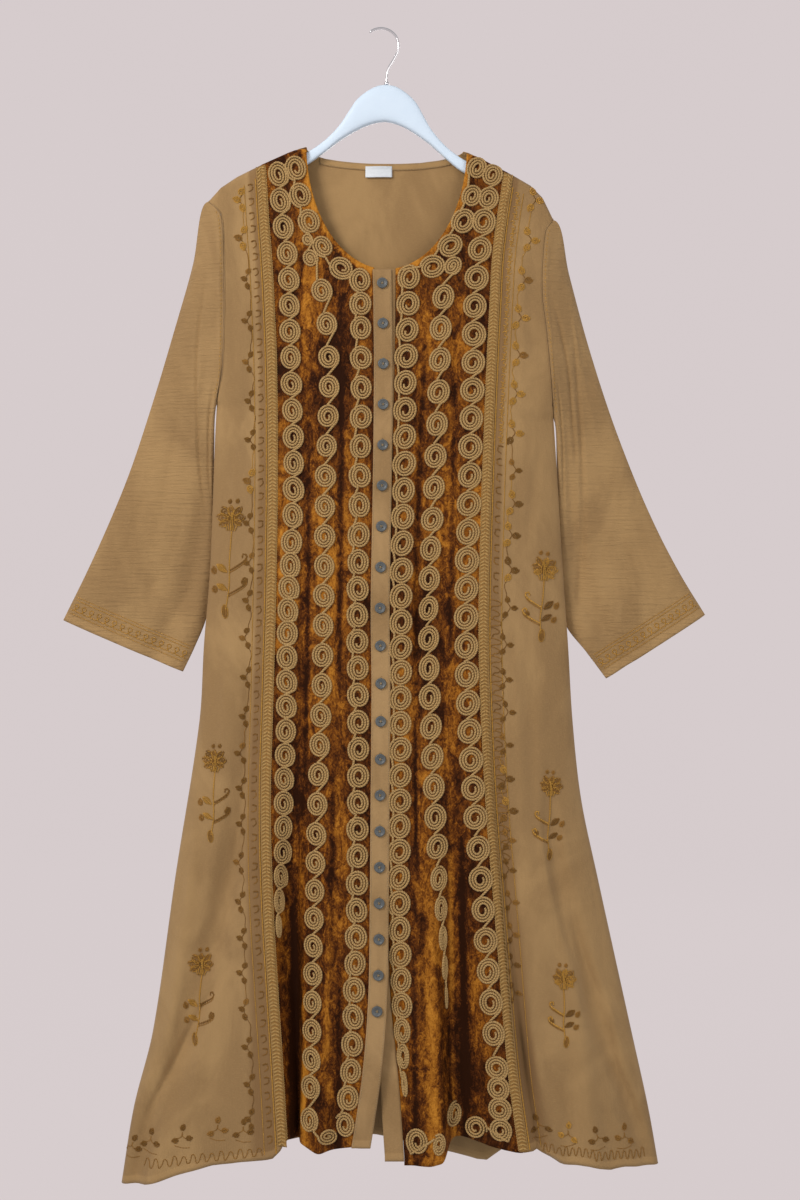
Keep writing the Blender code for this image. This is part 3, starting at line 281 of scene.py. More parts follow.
# The same on the sleeves, by the share across and the share down to the cuff
SleeveCrease = namedtuple("SleeveCrease", "down_1 across_1 down_2 across_2 half_width depth")
SLEEVE_CREASES = {
    -1: table(SleeveCrease,
        (0.04, 0.80, 0.36, 0.90, 0.07, 2.4), (0.30, 0.30, 0.75, 0.42, 0.08, 1.2),
        (0.50, 0.62, 0.86, 0.50, 0.05, 1.0), (0.45, 0.16, 0.90, 0.24, 0.05, 0.9),
        (0.60, 0.82, 0.95, 0.70, 0.05, 1.0), (0.10, 0.50, 0.40, 0.62, 0.09, -1.1),
        (0.05, 0.18, 0.44, 0.88, 0.06, 2.4)),
    1: table(SleeveCrease,
        (0.02, 0.34, 0.42, 0.58, 0.06, 2.6), (0.04, 0.72, 0.40, 0.84, 0.07, 2.2),
        (0.40, 0.22, 0.80, 0.34, 0.06, 1.0), (0.50, 0.86, 0.90, 0.74, 0.05, 1.1),
        (0.55, 0.48, 0.92, 0.60, 0.05, 1.0), (0.12, 0.14, 0.50, 0.24, 0.07, -1.0),
        (0.12, 0.12, 0.80, 0.97, 0.08, 3.0)),
}

# Embroidered sprigs of the side panels: where each flower head and its foot lie, and its size
Sprig = namedtuple("Sprig", "x drop foot_x foot_drop size petals")
SPRIGS = {
    -1: table(Sprig,
        (-192.5, 637.5, -200, 754.5, 1.0, "bronze"), (-213.5, 950, -218, 1043.5, 0.86, "bronze"),
        (-231, 1212, -238, 1304.5, 0.86, "amber")),
    1: table(Sprig,
        (210.5, 703, 206, 785.5, 0.92, "gold"), (218, 982, 216, 1067, 0.8, "amber"),
        (234, 1227.5, 236.5, 1304.5, 0.8, "gold")),
}
# Clusters of three leaves above the hem, how they lean in degrees, and which thread sews them
HemCluster = namedtuple("HemCluster", "x drop lean tone")
HEM_CLUSTERS = {
    -1: table(HemCluster,
        (-322, 1447, 20, "bronze"), (-297, 1438, 8, "bronze"), (-254, 1427, 6, "bronze"),
        (-208, 1415.5, 4, "amber"), (-175, 1416.5, 6, "bronze")),
    1: table(HemCluster,
        (203.5, 1415, -30, "bronze"), (239, 1422.5, 0, "gold"), (277, 1427, -24, "bronze"),
        (313, 1430, -4, "amber")),
}
# The looped line above the hem. HEM_LOOP says how wide one loop is
HemLine = namedtuple("HemLine", "x drop")
HEM_LINES = {-1: table(HemLine, (-306, 1467), (-230, 1454), (-148, 1443)),
             1: table(HemLine,
                 (207, 1443), (268, 1446), (278, 1451), (342, 1455))}
HEM_LOOP = {-1: 11.5, 1: 8.2}
# How far from the middle of the braid the vine runs, and how far apart its clusters are
Vine = namedtuple("Vine", "drop out pitch")
VINES = {
    -1: table(Vine,
        (240, 29.5, 52.5), (600, 29.5, 52.0), (850, 31, 48.0), (1250, 37.5, 46.0), (1420, 38, 45.0)),
    1: table(Vine,
        (240, 39, 50.5), (307, 39, 50.0), (406, 33, 51.0), (620, 35, 43.0), (700, 34, 46.0),
        (792, 29.5, 47.0), (886, 26, 41.0), (1050, 19.5, 40.0), (1150, 14.5, 39.0), (1250, 11.5, 39.0)),
}
# Threads of the three leaves of each cluster, from the top down: g gold, a amber, b bronze
VINE_TONES = {
    -1: "ggg gag abb bbb bab bbb bbb gag bbb abb bbb bab bbb bbb abb bbb bbb bab bbb bbb bbb abb bbb bbb",
    1: "ggg ggg gag ggg gag ggg ggb aba gbg gbg bbg bbb bbb bbb bbb abb gbb gba aab bbb aab aab bbb bab",
}


def curve(rows, column, at, key="drop"):
    """Reads one column of a table between its rows, on a smooth curve through them. at may be an array."""
    keys = np.array([getattr(row, key) for row in rows], float)
    values = np.array([getattr(row, column) for row in rows], float)
    at = np.clip(at, keys[0], keys[-1])
    i = np.clip(np.searchsorted(keys, at, side="right") - 1, 0, len(keys) - 2)
    step = keys[i + 1] - keys[i]
    before = np.maximum(i - 1, 0)
    after = np.minimum(i + 2, len(keys) - 1)
    slope_in = (values[i + 1] - values[before]) / (keys[i + 1] - keys[before]) * step
    slope_out = (values[after] - values[i]) / (keys[after] - keys[i]) * step
    t = (at - keys[i]) / step
    rise = values[i + 1] - values[i]
    cube = slope_in + slope_out - 2 * rise
    return values[i] + t * (slope_in + t * (3 * rise - 2 * slope_in - slope_out + t * cube))


def straight(rows, column, at, key):
    """Reads one column of a table between its rows, on straight lines."""
    return np.interp(at, [getattr(row, key) for row in rows], [getattr(row, column) for row in rows])


def smoothstep(low, high, value):
    t = np.clip((value - low) / (high - low), 0.0, 1.0)
    return t * t * (3 - 2 * t)


def bump(distance, half_width):
    """One soft fold across its width: 1 on its line, 0 at its sides."""
    share = np.clip(np.abs(distance) / half_width, 0.0, 1.0)
    return (0.5 + 0.5 * np.cos(math.pi * share)) ** 1.2


def edge_x(side, drop):
    """The armhole seam down to the underarm, then the folded side of the garment."""
    return curve(LEFT_EDGE if side < 0 else RIGHT_EDGE, "x", drop)


def line_x(row, drop):
    """The x of one of the front's long lines at a drop."""
    return float(curve(LINES, row, drop))


def front_line(row, shift=0.0):
    """One of the front's long lines, moved along x, as a function of the drop."""
    return lambda drop: curve(LINES, row, drop) + shift


def shoulder(x):
    """Drop of the ridge over the hanger at x, carried straight on across the neck."""
    return straight(SHOULDERS, "drop", x, "x")


def shoulder_tip(side):
    return SHOULDERS[0].drop if side < 0 else SHOULDERS[-1].drop


def arm_half_thick(side, drop):
    """Half the garment's thickness at the armhole seam, closing at its top and at the underarm."""
    top = shoulder_tip(side)
    share = (drop - top) / (UNDERARM[side] - top)
    inside = np.clip(share, 0.0, 1.0)
    thick = np.maximum(ARM_HALF_THICK * np.sqrt(1 - np.abs(2 * inside - 1) ** 3), RIDGE)
    return np.where(share > 1.001, 0.0, thick)


def smooth_depth(x, drop, which):
    """Distance of the front or the back from the middle plane, with no folds."""
    left = edge_x(-1, drop)
    right = edge_x(1, drop)
    middle = 0.5 * (left + right)
    across = np.minimum(np.abs(x - middle) / (0.5 * (right - left)), 1.0)
    arm = np.where(x < middle, arm_half_thick(-1, drop), arm_half_thick(1, drop))
    depth = curve(DEPTHS, which, drop)
    full = arm + (depth - arm) * np.sqrt(1 - across ** 3)
    below = np.clip((drop - shoulder(x)) / RIDGE_ROUND, 0.0, 1.0)
    rise = np.sqrt(1 - (1 - below) ** 2)
    return np.where(below >= 1, full, np.minimum(full, np.maximum(full * rise, RIDGE)))


def crease(name, drop):
    rows = [Place(depth, at) for at, depth in zip(CREASE_DROPS, CREASES[name])]
    return curve(rows, "number", drop)


def strip_edges(row, drop):
    """The two edges of the flat strip under a coil row: narrower seen from the front where it is turned."""
    middle = curve(LINES, row, drop)
    toward_left = ("_out", "_in") if row[-1] == "l" else ("_in", "_out")
    depths = [crease(row + end, drop) for end in toward_left]
    half = np.sqrt(COIL_STRIP ** 2 - (0.5 * (depths[1] - depths[0])) ** 2)
    return (middle - half, depths[0]), (middle + half, depths[1])


def front_creases(side, drop):
    """The creased lines of one half of the front at a drop, from left to right, as x and depth."""
    letter = LETTER[side]
    braid = curve(LINES, "braid_" + letter, drop)
    out_line = (braid + side * BRAID_HALF_WIDTH, crease(f"braid_{letter}_out", drop))
    in_line = (braid - side * BRAID_HALF_WIDTH, crease(f"braid_{letter}_in", drop))
    outer = strip_edges("outer_" + letter, drop)
    middle = strip_edges("middle_" + letter, drop)
    inner = strip_edges("inner_" + letter, drop)
    near, far = (outer[1], middle[0]) if side < 0 else (middle[1], outer[0])
    place = near[0] + VALLEY_PLACE[side] * (far[0] - near[0])
    valley = (place, crease("valley_" + letter, drop))
    if side < 0:
        return [out_line, in_line, *outer, valley, *middle, *inner]
    return [*inner, *middle, valley, *outer, in_line, out_line]


def path_x(points, drop):
    """The x of a parabola through three (drop, x) points, at a drop."""
    (d1, x1), (d2, x2), (d3, x3) = points
    return (x1 * (drop - d2) * (drop - d3) / ((d1 - d2) * (d1 - d3))
            + x2 * (drop - d1) * (drop - d3) / ((d2 - d1) * (d2 - d3))
            + x3 * (drop - d1) * (drop - d2) / ((d3 - d1) * (d3 - d2)))


def fold_offset(folds, x, drop, hem=1470.0):
    """Sum of the soft folds at a point, positive towards the middle plane."""
    total = np.zeros_like(x + drop)
    for fold in folds:
        t = (drop - fold.start) / (hem - fold.start)
        m = (fold.middle - fold.start) / (hem - fold.start)
        bend = (fold.x_middle - fold.x_start - m * (fold.x_hem - fold.x_start)) / (m * (m - 1))
        path = fold.x_start + t * (fold.x_hem - fold.x_start) + bend * t * (t - 1)
        size = fold.depth * smoothstep(0, 0.55, t)
        total = total + size * bump(x - path, fold.half_width * (0.6 + 0.5 * np.maximum(t, 0)))
    return total


def crease_offset(creases, x, drop, spread=1.7):
    """Sum of the small creases at a point. The right side of each is spread times as wide as the left."""
    total = np.zeros_like(x + drop)
    for one in creases:
        t = (drop - one.drop_1) / (one.drop_3 - one.drop_1)
        path = path_x(((one.drop_1, one.x_1), (one.drop_2, one.x_2), (one.drop_3, one.x_3)), drop)
        size = one.depth * smoothstep(0, 0.25, t) * (1 - smoothstep(0.7, 1.0, t))
        away = x - path
        total = total + size * bump(away, np.where(away < 0, one.half_width, spread * one.half_width))
    return total


def velvet_y(x, drop, side):
    """The outer face of a velvet half, flat between its creased lines."""
    lines = front_creases(side, drop)
    ends = lines[0] if side > 0 else lines[-1]
    result = ends[1] - smooth_depth(x, drop, "front")
    for (x0, depth0), (x1, depth1) in zip(lines, lines[1:]):
        y0 = depth0 - smooth_depth(x0, drop, "front")
        y1 = depth1 - smooth_depth(x1, drop, "front")
        result = np.where((x >= x0) & (x <= x1), y0 + (y1 - y0) * (x - x0) / (x1 - x0), result)
    return result


def side_y(x, drop, side):
    """The outer face of a side panel of the front."""
    braid_x, braid_depth = front_creases(side, drop)[0 if side < 0 else -1]
    edge = edge_x(side, drop)
    reach = np.abs(edge - braid_x)
    from_edge = np.minimum(np.abs(edge - x) / 30.0, 1.0)
    away = np.abs(x - braid_x)
    folds = fold_offset(SIDE_FOLDS[side], x, drop) + crease_offset(SIDE_CREASES[side], x, drop)
    offset = folds * smoothstep(0, 1, from_edge) * smoothstep(0.0, 9.0, away)
    offset = offset + braid_depth * (1 - smoothstep(0, 0.35 * reach, away))
    return offset - smooth_depth(x, drop, "front")


def front_y(x, drop, side):
    """The outer face of the front, from the placket to the side."""
    braid_x = front_creases(side, drop)[0 if side < 0 else -1][0]
    outside = (x - braid_x) * side > 0
    return np.where(outside, side_y(x, drop, side), velvet_y(x, drop, side))


def back_y(x, drop):
    """The outer face of the back."""
    to_edge = np.minimum(x - edge_x(-1, drop), edge_x(1, drop) - x)
    folds = fold_offset(BACK_FOLDS, x, drop) + crease_offset(BACK_CREASES, x, drop)
    return smooth_depth(x, drop, "back") - folds * smoothstep(0, 40, to_edge)


def top_drop(line):
    """Where a long line starts, on the ridge of the shoulder."""
    drop = 190.0
    for _ in range(40):
        drop = float(shoulder(line(drop)))
    return drop


def hem_drop(line, hem):
    drop = 1450.0
    for _ in range(10):
        drop = float(straight(hem, "drop", line(drop), "x"))
    return drop


def crinkle(x, y, drop, stretch, size):
    """Small uneven waves of pressed cloth, in millimetres. stretch gives the scale of each axis."""
    flat = np.stack([np.ravel(values) * scale for values, scale in zip((x, y, drop), stretch)], axis=1)
    values = [noise.noise(Vector(row)) + 0.5 * noise.noise(Vector(row * 2.3)) for row in flat]
    return size * np.array(values).reshape(np.shape(x))


def neck_inside(x, drop, depth, grow=0.0):
    return ((x - NECK_X) / (NECK_HALF_WIDTH + grow)) ** 2 + ((drop - NECK_DROP) / (depth + grow)) ** 2 < 1


class Value:
    """A shader socket that takes part in Python sums."""

    def __init__(self, paint, socket):
        self.paint = paint
        self.socket = socket

    def sum(self, operation, first, second):
        return self.paint.node("ShaderNodeMath", {"operation": operation}, {0: first, 1: second})

    def __add__(self, other):
        return self.sum("ADD", self, other)

    __radd__ = __add__

    def __sub__(self, other):
        return self.sum("SUBTRACT", self, other)

    def __rsub__(self, other):
        return self.sum("SUBTRACT", other, self)

    def __mul__(self, other):
        return self.sum("MULTIPLY", self, other)

    __rmul__ = __mul__


class Paint:
    """One material and its nodes."""

    def __init__(self, name, **fixed):
        self.material = bpy.data.materials.new(name)
        self.material.use_nodes = True
        self.tree = self.material.node_tree
        self.shader = self.tree.nodes["Principled BSDF"]
        for socket, value in fixed.items():
            self.shader.inputs[socket.replace("_", " ")].default_value = value

    def node(self, kind, settings, sockets, output=0):
        """Adds a node: its settings first, then the values or links of its sockets."""
        made = self.tree.nodes.new(kind)
        for key, value in settings.items():
            if key == "stops":
                while len(made.color_ramp.elements) < len(value):
                    made.color_ramp.elements.new(0.5)
                for element, (place, colour) in zip(made.color_ramp.elements, value):
                    element.position = place
                    element.color = (*colour, 1.0)
            else:
                setattr(made, key, value)
        for key, value in sockets.items():
            self.feed(made.inputs[key], value)
        return Value(self, made.outputs[output])

    def feed(self, socket, value):
        if isinstance(value, Value):
            self.tree.links.new(value.socket, socket)
        elif socket.type == "RGBA":
            socket.default_value = (*value, 1.0)
        else:
            socket.default_value = value

    def place(self, scale=(1.0, 1.0, 1.0)):
        """The point on the object in millimetres, stretched by scale."""
        point = self.node("ShaderNodeTexCoord", {}, {}, output="Object")
        size = tuple(1000.0 * s for s in scale)
        return self.node("ShaderNodeVectorMath", {"operation": "MULTIPLY"}, {0: point, 1: size})

    def uv(self):
        """The two numbers of the piece's own UV map."""
        point = self.node("ShaderNodeTexCoord", {}, {}, output="UV")
        parts = self.tree.nodes.new("ShaderNodeSeparateXYZ")
        self.feed(parts.inputs[0], point)
        return Value(self, parts.outputs["X"]), Value(self, parts.outputs["Y"])

    def noise(self, vector, scale, detail=3.0, rough=0.55, bend=0.0):
        return self.node("ShaderNodeTexNoise", {}, {"Vector": vector, "Scale": scale, "Detail": detail,
                                                    "Roughness": rough, "Distortion": bend})

    def ramp(self, value, *stops):
        return self.node("ShaderNodeValToRGB", {"stops": stops}, {"Fac": value})

    def mix(self, factor, first, second):
        return self.node("ShaderNodeMix", {"data_type": "RGBA"}, {0: factor, 6: first, 7: second}, output=2)

    def step(self, value, low, high):
        """0 below low, 1 above high, smooth between."""
        return self.node("ShaderNodeMapRange", {"interpolation_type": "SMOOTHSTEP"},
                         {"Value": value, "From Min": low, "From Max": high})

    def wave(self, value):
        return self.node("ShaderNodeMath", {"operation": "SINE"}, {0: value})

    def bump(self, height, strength, distance):
        sockets = {"Height": height, "Strength": strength, "Distance": distance}
        return self.node("ShaderNodeBump", {}, sockets)

    def finish(self, **varying):
        for socket, value in varying.items():
            self.feed(self.shader.inputs[socket.replace("_", " ")], value)
        return self.material


def rayon_paint(name, colour, shade, strip=0.0, slant=0.0):
    """Washed woven rayon: soft patches, fine slubs and faint crinkles. Hems are a little paler.
    strip darkens the cloth in a band beside the braid. slant adds slanting crinkles."""
    paint = Paint(name, Specular_IOR_Level=0.25, Sheen_Weight=0.12, Sheen_Roughness=0.5)
    place = paint.place()
    along, above = paint.uv()
    patches = paint.noise(paint.place((1, 1, 0.55)), 0.012, 4, 0.6, 0.6)
    slub = paint.noise(paint.place((0.3, 0.3, 2.2)), 0.9, 2, 0.6)
    grain = paint.noise(place, 1.7, 2, 0.7)
    base = paint.mix(paint.step(patches, 0.36, 0.66), shade, colour)
    pale = tuple(min(1.0, 1.22 * c) for c in colour)
    base = paint.mix(paint.step(slub, 0.45, 0.8) * 0.35, base, pale)
    beside = (1 - paint.step(along, 0.022, 0.031)) * strip
    base = paint.mix(beside * (0.75 + slub * 0.5), base, (0.58 * shade[0], 0.48 * shade[1], 0.38 * shade[2]))
    hem = 1 - paint.step(above, 0.009, 0.0115)
    base = paint.mix(hem * 0.35, base, pale)
    weave = paint.wave(along * 5200.0) * 0.5 + paint.wave(above * 5200.0) * 0.5
    crinkles = paint.noise(paint.place((1.4, 1.4, 0.7)), 0.16, 3, 0.6, 1.2)
    height = weave * 0.10 + grain * 0.35 + crinkles * 0.9 + hem * 0.4
    if slant:
        turned_place = paint.node("ShaderNodeMapping", {}, {"Vector": place, "Rotation": (0.0, slant, 0.0),
                                                          "Scale": (0.08, 0.3, 1.0)})
        height = height + paint.noise(turned_place, 0.30, 2, 0.5, 0.4) * 3.6
    return paint.finish(Base_Color=base, Roughness=0.74 + slub * 0.16,
                        Normal=paint.bump(height, 0.55, 0.0011))


def velvet_paint(name):
    """Crushed velvet: the pile lies in uneven streaks and patches, bright where it lies over.
    The panel's stored bands darken and lighten it: partly crushed pile, partly painted shade in the folds
    and painted highlights on their ridges."""
    paint = Paint(name, Specular_IOR_Level=0.05, Sheen_Weight=0.05, Sheen_Roughness=0.35,
                  Sheen_Tint=(0.95, 0.5, 0.12, 1.0))
    place = paint.place((1.0, 1.0, 0.42))
    streaks = paint.noise(place, 0.070, 7, 0.68, 1.0)
    spots = paint.noise(paint.place((1.0, 1.0, 0.75)), 0.22, 6, 0.72, 1.5)
    broad = paint.noise(paint.place((1.0, 1.0, 0.22)), 0.022, 2, 0.5, 0.3)
    # Painted fold shade and highlights, partly crushed pile, added to the lie of the pile
    nap = paint.node("ShaderNodeAttribute", {"attribute_name": "nap"}, {}, output="Fac")
    lie = streaks * 0.56 + spots * 0.44 + (broad - 0.5) * 0.36 + nap * 0.14
    base = paint.ramp(lie, (0.40, (0.024, 0.006, 0.001)), (0.465, (0.078, 0.020, 0.003)),
                      (0.525, (0.185, 0.054, 0.005)), (0.58, (0.35, 0.122, 0.011)),
                      (0.675, (0.56, 0.222, 0.024)))
    pile = paint.noise(paint.place((1, 1, 0.6)), 1.1, 2, 0.7)
    height = lie * 2.0 + pile * 0.22
    return paint.finish(Base_Color=base, Roughness=0.66 - paint.step(lie, 0.45, 0.75) * 0.22,
                        Normal=paint.bump(height, 0.6, 0.0016))


def thread_paint(name, colour, shade, twist, rough, metal=0.0):
    """Cord or thread, once round in each twist. The piece's UV map runs along and round each strand."""
    paint = Paint(name, Specular_IOR_Level=0.2, Sheen_Weight=0.05, Metallic=metal)
    along, round_it = paint.uv()
    lay = paint.wave(along * (6283.2 / twist) + round_it * 6.2832)
    patches = paint.noise(paint.place(), 0.07, 3, 0.6)
    fibre = paint.noise(paint.place(), 2.6, 2, 0.7)
    # The twist stripes darken the colour in the grooves between strands, a painted shade; the patches and
    # fibres are the thread's own uneven tone
    groove_shade_and_tone = paint.step(lay, -0.9, 0.3) * 0.42 + patches * 0.4 + fibre * 0.35
    base = paint.mix(groove_shade_and_tone, shade, colour)
    return paint.finish(Base_Color=base, Roughness=rough - fibre * 0.2,
                        Normal=paint.bump(lay + fibre * 0.8, 0.7, 0.0004))


def plain_paint(name, colour, shade, rough, metal=0.0, coat=0.0):
    """A hard finish with faint wear and unevenness."""
    paint = Paint(name, Coat_Weight=coat, Coat_Roughness=0.12, Metallic=metal)
    patches = paint.noise(paint.place(), 0.06, 4, 0.6)
    fine = paint.noise(paint.place(), 0.35, 3, 0.6)
    base = paint.mix(patches * 0.7 + fine * 0.2, shade, colour)
    return paint.finish(Base_Color=base, Roughness=rough + patches * 0.12,
                        Normal=paint.bump(fine, 0.25, 0.0002))


def to_object(name, points, faces, material, uvs=None):
    mesh = bpy.data.meshes.new(name)
    mesh.from_pydata([tuple(p) for p in points], [], [tuple(f) for f in faces])
    mesh.materials.append(material)
    mesh.polygons.foreach_set("use_smooth", [True] * len(mesh.polygons))
    if uvs is not None:
        layer = mesh.uv_layers.new(name="cloth")
        layer.data.foreach_set("uv", np.asarray(uvs, np.float32).ravel())
    mesh.update()
    made = bpy.data.objects.new(name, mesh)
    bpy.context.scene.collection.objects.link(made)
    return made


def cloth_piece(node, shell, finish, thick, slot="rayon"):
    """Makes a shell's object and keeps the shell for what is laid on it."""
    SHELLS[node] = shell
    return keep(shell.make(node + "_cloth", paint(finish), thick), slot, node)


def keep(piece, slot, *nodes):
    """Says what carries the piece and hides the solids that it stands for. Its slot is not used."""
    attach(piece, BODY)
    if nodes:
        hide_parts(*nodes)
    return piece


class Shell:
    """A sheet of cloth through rows of points (x, y, drop), with its faces for laying things on it."""

    def __init__(self, grid, flip=False, closed=False, nap=None):
        self.grid = np.asarray(grid, float)
        self.nap = nap
        rows, columns = self.grid.shape[:2]
        number = np.arange(rows * columns).reshape(rows, columns)
        after = np.roll(number, -1, axis=1) if closed else number[:, 1:]
        here = number if closed else number[:, :-1]
        quads = np.stack([here[:-1], after[:-1], after[1:], here[1:]], axis=-1).reshape(-1, 4)
        self.faces = quads[:, ::-1] if flip else quads
        self.points = self.grid.reshape(-1, 3).copy()
        self.tree = self.make_tree()

    def metres(self):
        return self.points * (MM, MM, -MM)

    def make_tree(self):
        return BVHTree.FromPolygons(self.metres().tolist(), self.faces.tolist())

    def above_hem(self):
        """How far each point of the grid lies above the last row, along the cloth."""
        steps = np.linalg.norm(np.diff(self.grid, axis=0), axis=2)
        above = np.zeros(self.grid.shape[:2])
        above[:-1] = np.cumsum(steps[::-1], axis=0)[::-1]
        return above

    def cut_neck(self, depth):
        """Cuts the neck out: faces inside go, and the corners next to its edge move on to it."""
        x, drop = self.points[:, 0], self.points[:, 2]
        inside = neck_inside(x, drop, depth)
        kept = ~inside[self.faces].all(axis=1)
        used = np.zeros(len(self.points), bool)
        used[self.faces[kept].ravel()] = True
        for i in np.nonzero(inside & used)[0]:
            away = math.hypot((x[i] - NECK_X) / NECK_HALF_WIDTH, (drop[i] - NECK_DROP) / depth)
            new_x = NECK_X + (x[i] - NECK_X) / max(away, 1e-6)
            new_drop = NECK_DROP + (drop[i] - NECK_DROP) / max(away, 1e-6)
            way = -1.0 if self.points[i][1] < 0 else 1.0
            start = Vector((new_x * MM, way * 0.2, -new_drop * MM))
            place = self.tree.ray_cast(start, Vector((0, -way, 0)))[0]
            y = place.y / MM if place is not None else self.points[i][1]
            self.points[i] = (new_x, y, new_drop)
        self.faces = self.faces[kept]
        self.tree = self.make_tree()

    def make(self, name, material, thick):
        """The object, with a wall behind its outer face and a UV map along and above the hem, in metres."""
        used = np.unique(self.faces)
        new_number = np.full(len(self.points), -1)
        new_number[used] = np.arange(len(used))
        across = np.zeros(self.grid.shape[:2])
        across[:, 1:] = np.cumsum(np.linalg.norm(np.diff(self.grid, axis=1), axis=2), axis=1)
        across = across.mean(axis=0, keepdims=True) + np.zeros((len(self.grid), 1))
        uv = np.stack([across, self.above_hem()], axis=-1).reshape(-1, 2) * MM
        made = to_object(name, self.metres()[used], new_number[self.faces], material, uv[self.faces.ravel()])
        # The velvet's bands of pile with painted fold shade and highlights go to its paint as a point value
        if self.nap is not None:
            layer = made.data.attributes.new("nap", "FLOAT", "POINT")
            layer.data.foreach_set("value", self.nap.ravel()[used])
        wall = made.modifiers.new("wall", "SOLIDIFY")
        wall.thickness = thick * MM
        wall.offset = -1.0
        return made


def hit(shells, x, drop, start=-200.0, way=1.0):
    """Where a line along y first meets the shells, in metres, with the face's normal towards its start."""
    found = None
    ray = (Vector((x * MM, start * MM, -drop * MM)), Vector((0, way, 0)))
    for shell in shells:
        place, normal, _, length = shell.tree.ray_cast(*ray)
        if place is not None and (found is None or length < found[2]):
            found = (place, normal, length)
    if found is None:
        return None
    place, normal, _ = found
    if normal.y * way > 0:
        normal = -normal
    return np.array(place), np.array(normal)


def ring_faces(rings, sides):
    """The faces between the rings of a tube, whose points run ring by ring."""
    faces = []
    for k in range(rings - 1):
        for s in range(sides):
            t = (s + 1) % sides
            faces.append((k * sides + s, k * sides + t, (k + 1) * sides + t, (k + 1) * sides + s))
    return faces


def soften(values, times):
    """Evens out values along their first axis, in place. The two ends stay."""
    for _ in range(times):
        values[1:-1] = 0.25 * values[:-2] + 0.5 * values[1:-1] + 0.25 * values[2:]


class Strands:
    """Gathers tubes of thread into one mesh. They are laid on the shells that it is given."""

    def __init__(self, *shells):
        self.shells = shells
        self.points = []
        self.faces = []
        self.uvs = []
        self.count = 0

    def tube(self, path, normals, wide, high, sides, lift=0.0):
        """A tube along a path in metres. wide and high are half sizes in millimetres, also one a point."""
        path = np.asarray(path, float)
        count = len(path)
        along = np.gradient(path, axis=0)
        along /= np.linalg.norm(along, axis=1)[:, None] + 1e-12
        normals = np.asarray(normals, float) - along * np.sum(np.asarray(normals) * along, axis=1)[:, None]
        normals /= np.linalg.norm(normals, axis=1)[:, None] + 1e-12
        across = np.cross(along, normals)
        wide = np.broadcast_to(wide, (count,)) * MM
        high = np.broadcast_to(high, (count,)) * MM
        turn = 2 * math.pi * np.arange(sides) / sides
        middle = path + normals * lift * MM
        ring = (middle[:, None] + across[:, None] * (np.cos(turn)[None, :, None] * wide[:, None, None])
                + normals[:, None] * (np.sin(turn)[None, :, None] * high[:, None, None]))
        length = np.concatenate([[0], np.cumsum(np.linalg.norm(np.diff(path, axis=0), axis=1))])
        faces = ring_faces(count, sides)
        for k in range(count - 1):
            for s in range(sides):
                self.uvs += [(length[k], s / sides), (length[k], (s + 1) / sides),
                             (length[k + 1], (s + 1) / sides), (length[k + 1], s / sides)]
        for k, order in ((0, range(sides - 1, -1, -1)), (count - 1, range(sides))):
            faces.append([k * sides + s for s in order])
            self.uvs += [(length[k], s / sides) for s in order]
        self.points.append(ring.reshape(-1, 3))
        self.faces += [tuple(self.count + i for i in face) for face in faces]
        self.count += count * sides

    def lay(self, path, wide, high, sides, lift=0.3, beads=0.0, start=-200.0, way=1.0):
        """A thread through (x, drop) points, laid on the cloth. beads makes it chain stitch."""
        found = [hit(self.shells, x, drop, start, way) for x, drop in path]
        if sum(one is not None for one in found) < 2:
            return
        wide = [size for size, one in zip(np.broadcast_to(wide, len(found)), found) if one is not None]
        places, normals = zip(*[one for one in found if one is not None])
        swell = 1.0 + beads * np.where(np.arange(len(places)) % 2, 1.0, -1.0)
        self.tube(places, normals, np.array(wide) * swell, high * swell, sides, lift)

    def make(self, name, material):
        made = to_object(name, np.concatenate(self.points), self.faces, material, self.uvs)
        clean_normals(made)
        return made


def clean_normals(piece):
    bm = bmesh.new()
    bm.from_mesh(piece.data)
    bmesh.ops.recalc_face_normals(bm, faces=bm.faces)
    bm.to_mesh(piece.data)
    bm.free()


def along(points, step):
    """A smooth line through some (x, drop) points, at an even step."""
    points = np.asarray(points, float)
    before = np.vstack([2 * points[0] - points[1], points, 2 * points[-1] - points[-2]])
    fine = []
    for k in range(1, len(before) - 2):
        p0, p1, p2, p3 = before[k - 1:k + 3]
        for t in np.linspace(0, 1, 12, endpoint=False):
            fine.append(0.5 * (2 * p1 + (p2 - p0) * t + (2 * p0 - 5 * p1 + 4 * p2 - p3) * t * t
                               + (3 * p1 - p0 - 3 * p2 + p3) * t ** 3))
    fine.append(points[-1])
    fine = np.array(fine)
    length = np.concatenate([[0], np.cumsum(np.linalg.norm(np.diff(fine, axis=0), axis=1))])
    even = np.linspace(0, length[-1], max(int(length[-1] / step) + 1, 3))
    return np.stack([np.interp(even, length, fine[:, 0]), np.interp(even, length, fine[:, 1])], axis=1)


# The widest gap between two columns of a velvet panel
VELVET_COLUMN = 3.6
# A panel's rows at the ridge: how far below it, and how far from the middle plane, 0 where that is free
ROWS_AT_RIDGE = ((0.0, 0.15), (0.0, 1.0), (0.2, 1.9), (0.9, 0.0), (2.0, 0.0), (3.5, 0.0), (5.8, 0.0),
                 (9.0, 0.0))
SHELLS = {}
PAINTS = {}


def line_points(line, drops, way, y_at, least):
    """One long line of a panel over the ridge and down, as rows of x, y and drop."""
    top = top_drop(line)
    below, forced = np.array(ROWS_AT_RIDGE).T
    drop = np.concatenate([top + below, drops(top + RIDGE_ROUND)])
    x = line(drop)
    y = y_at(x, drop)
    y = np.minimum(y, -least) if way < 0 else np.maximum(y, least)
    y[:len(forced)] = np.where(forced > 0, way * forced, y[:len(forced)])
    return np.stack([x + np.zeros_like(drop), y, drop], axis=1)


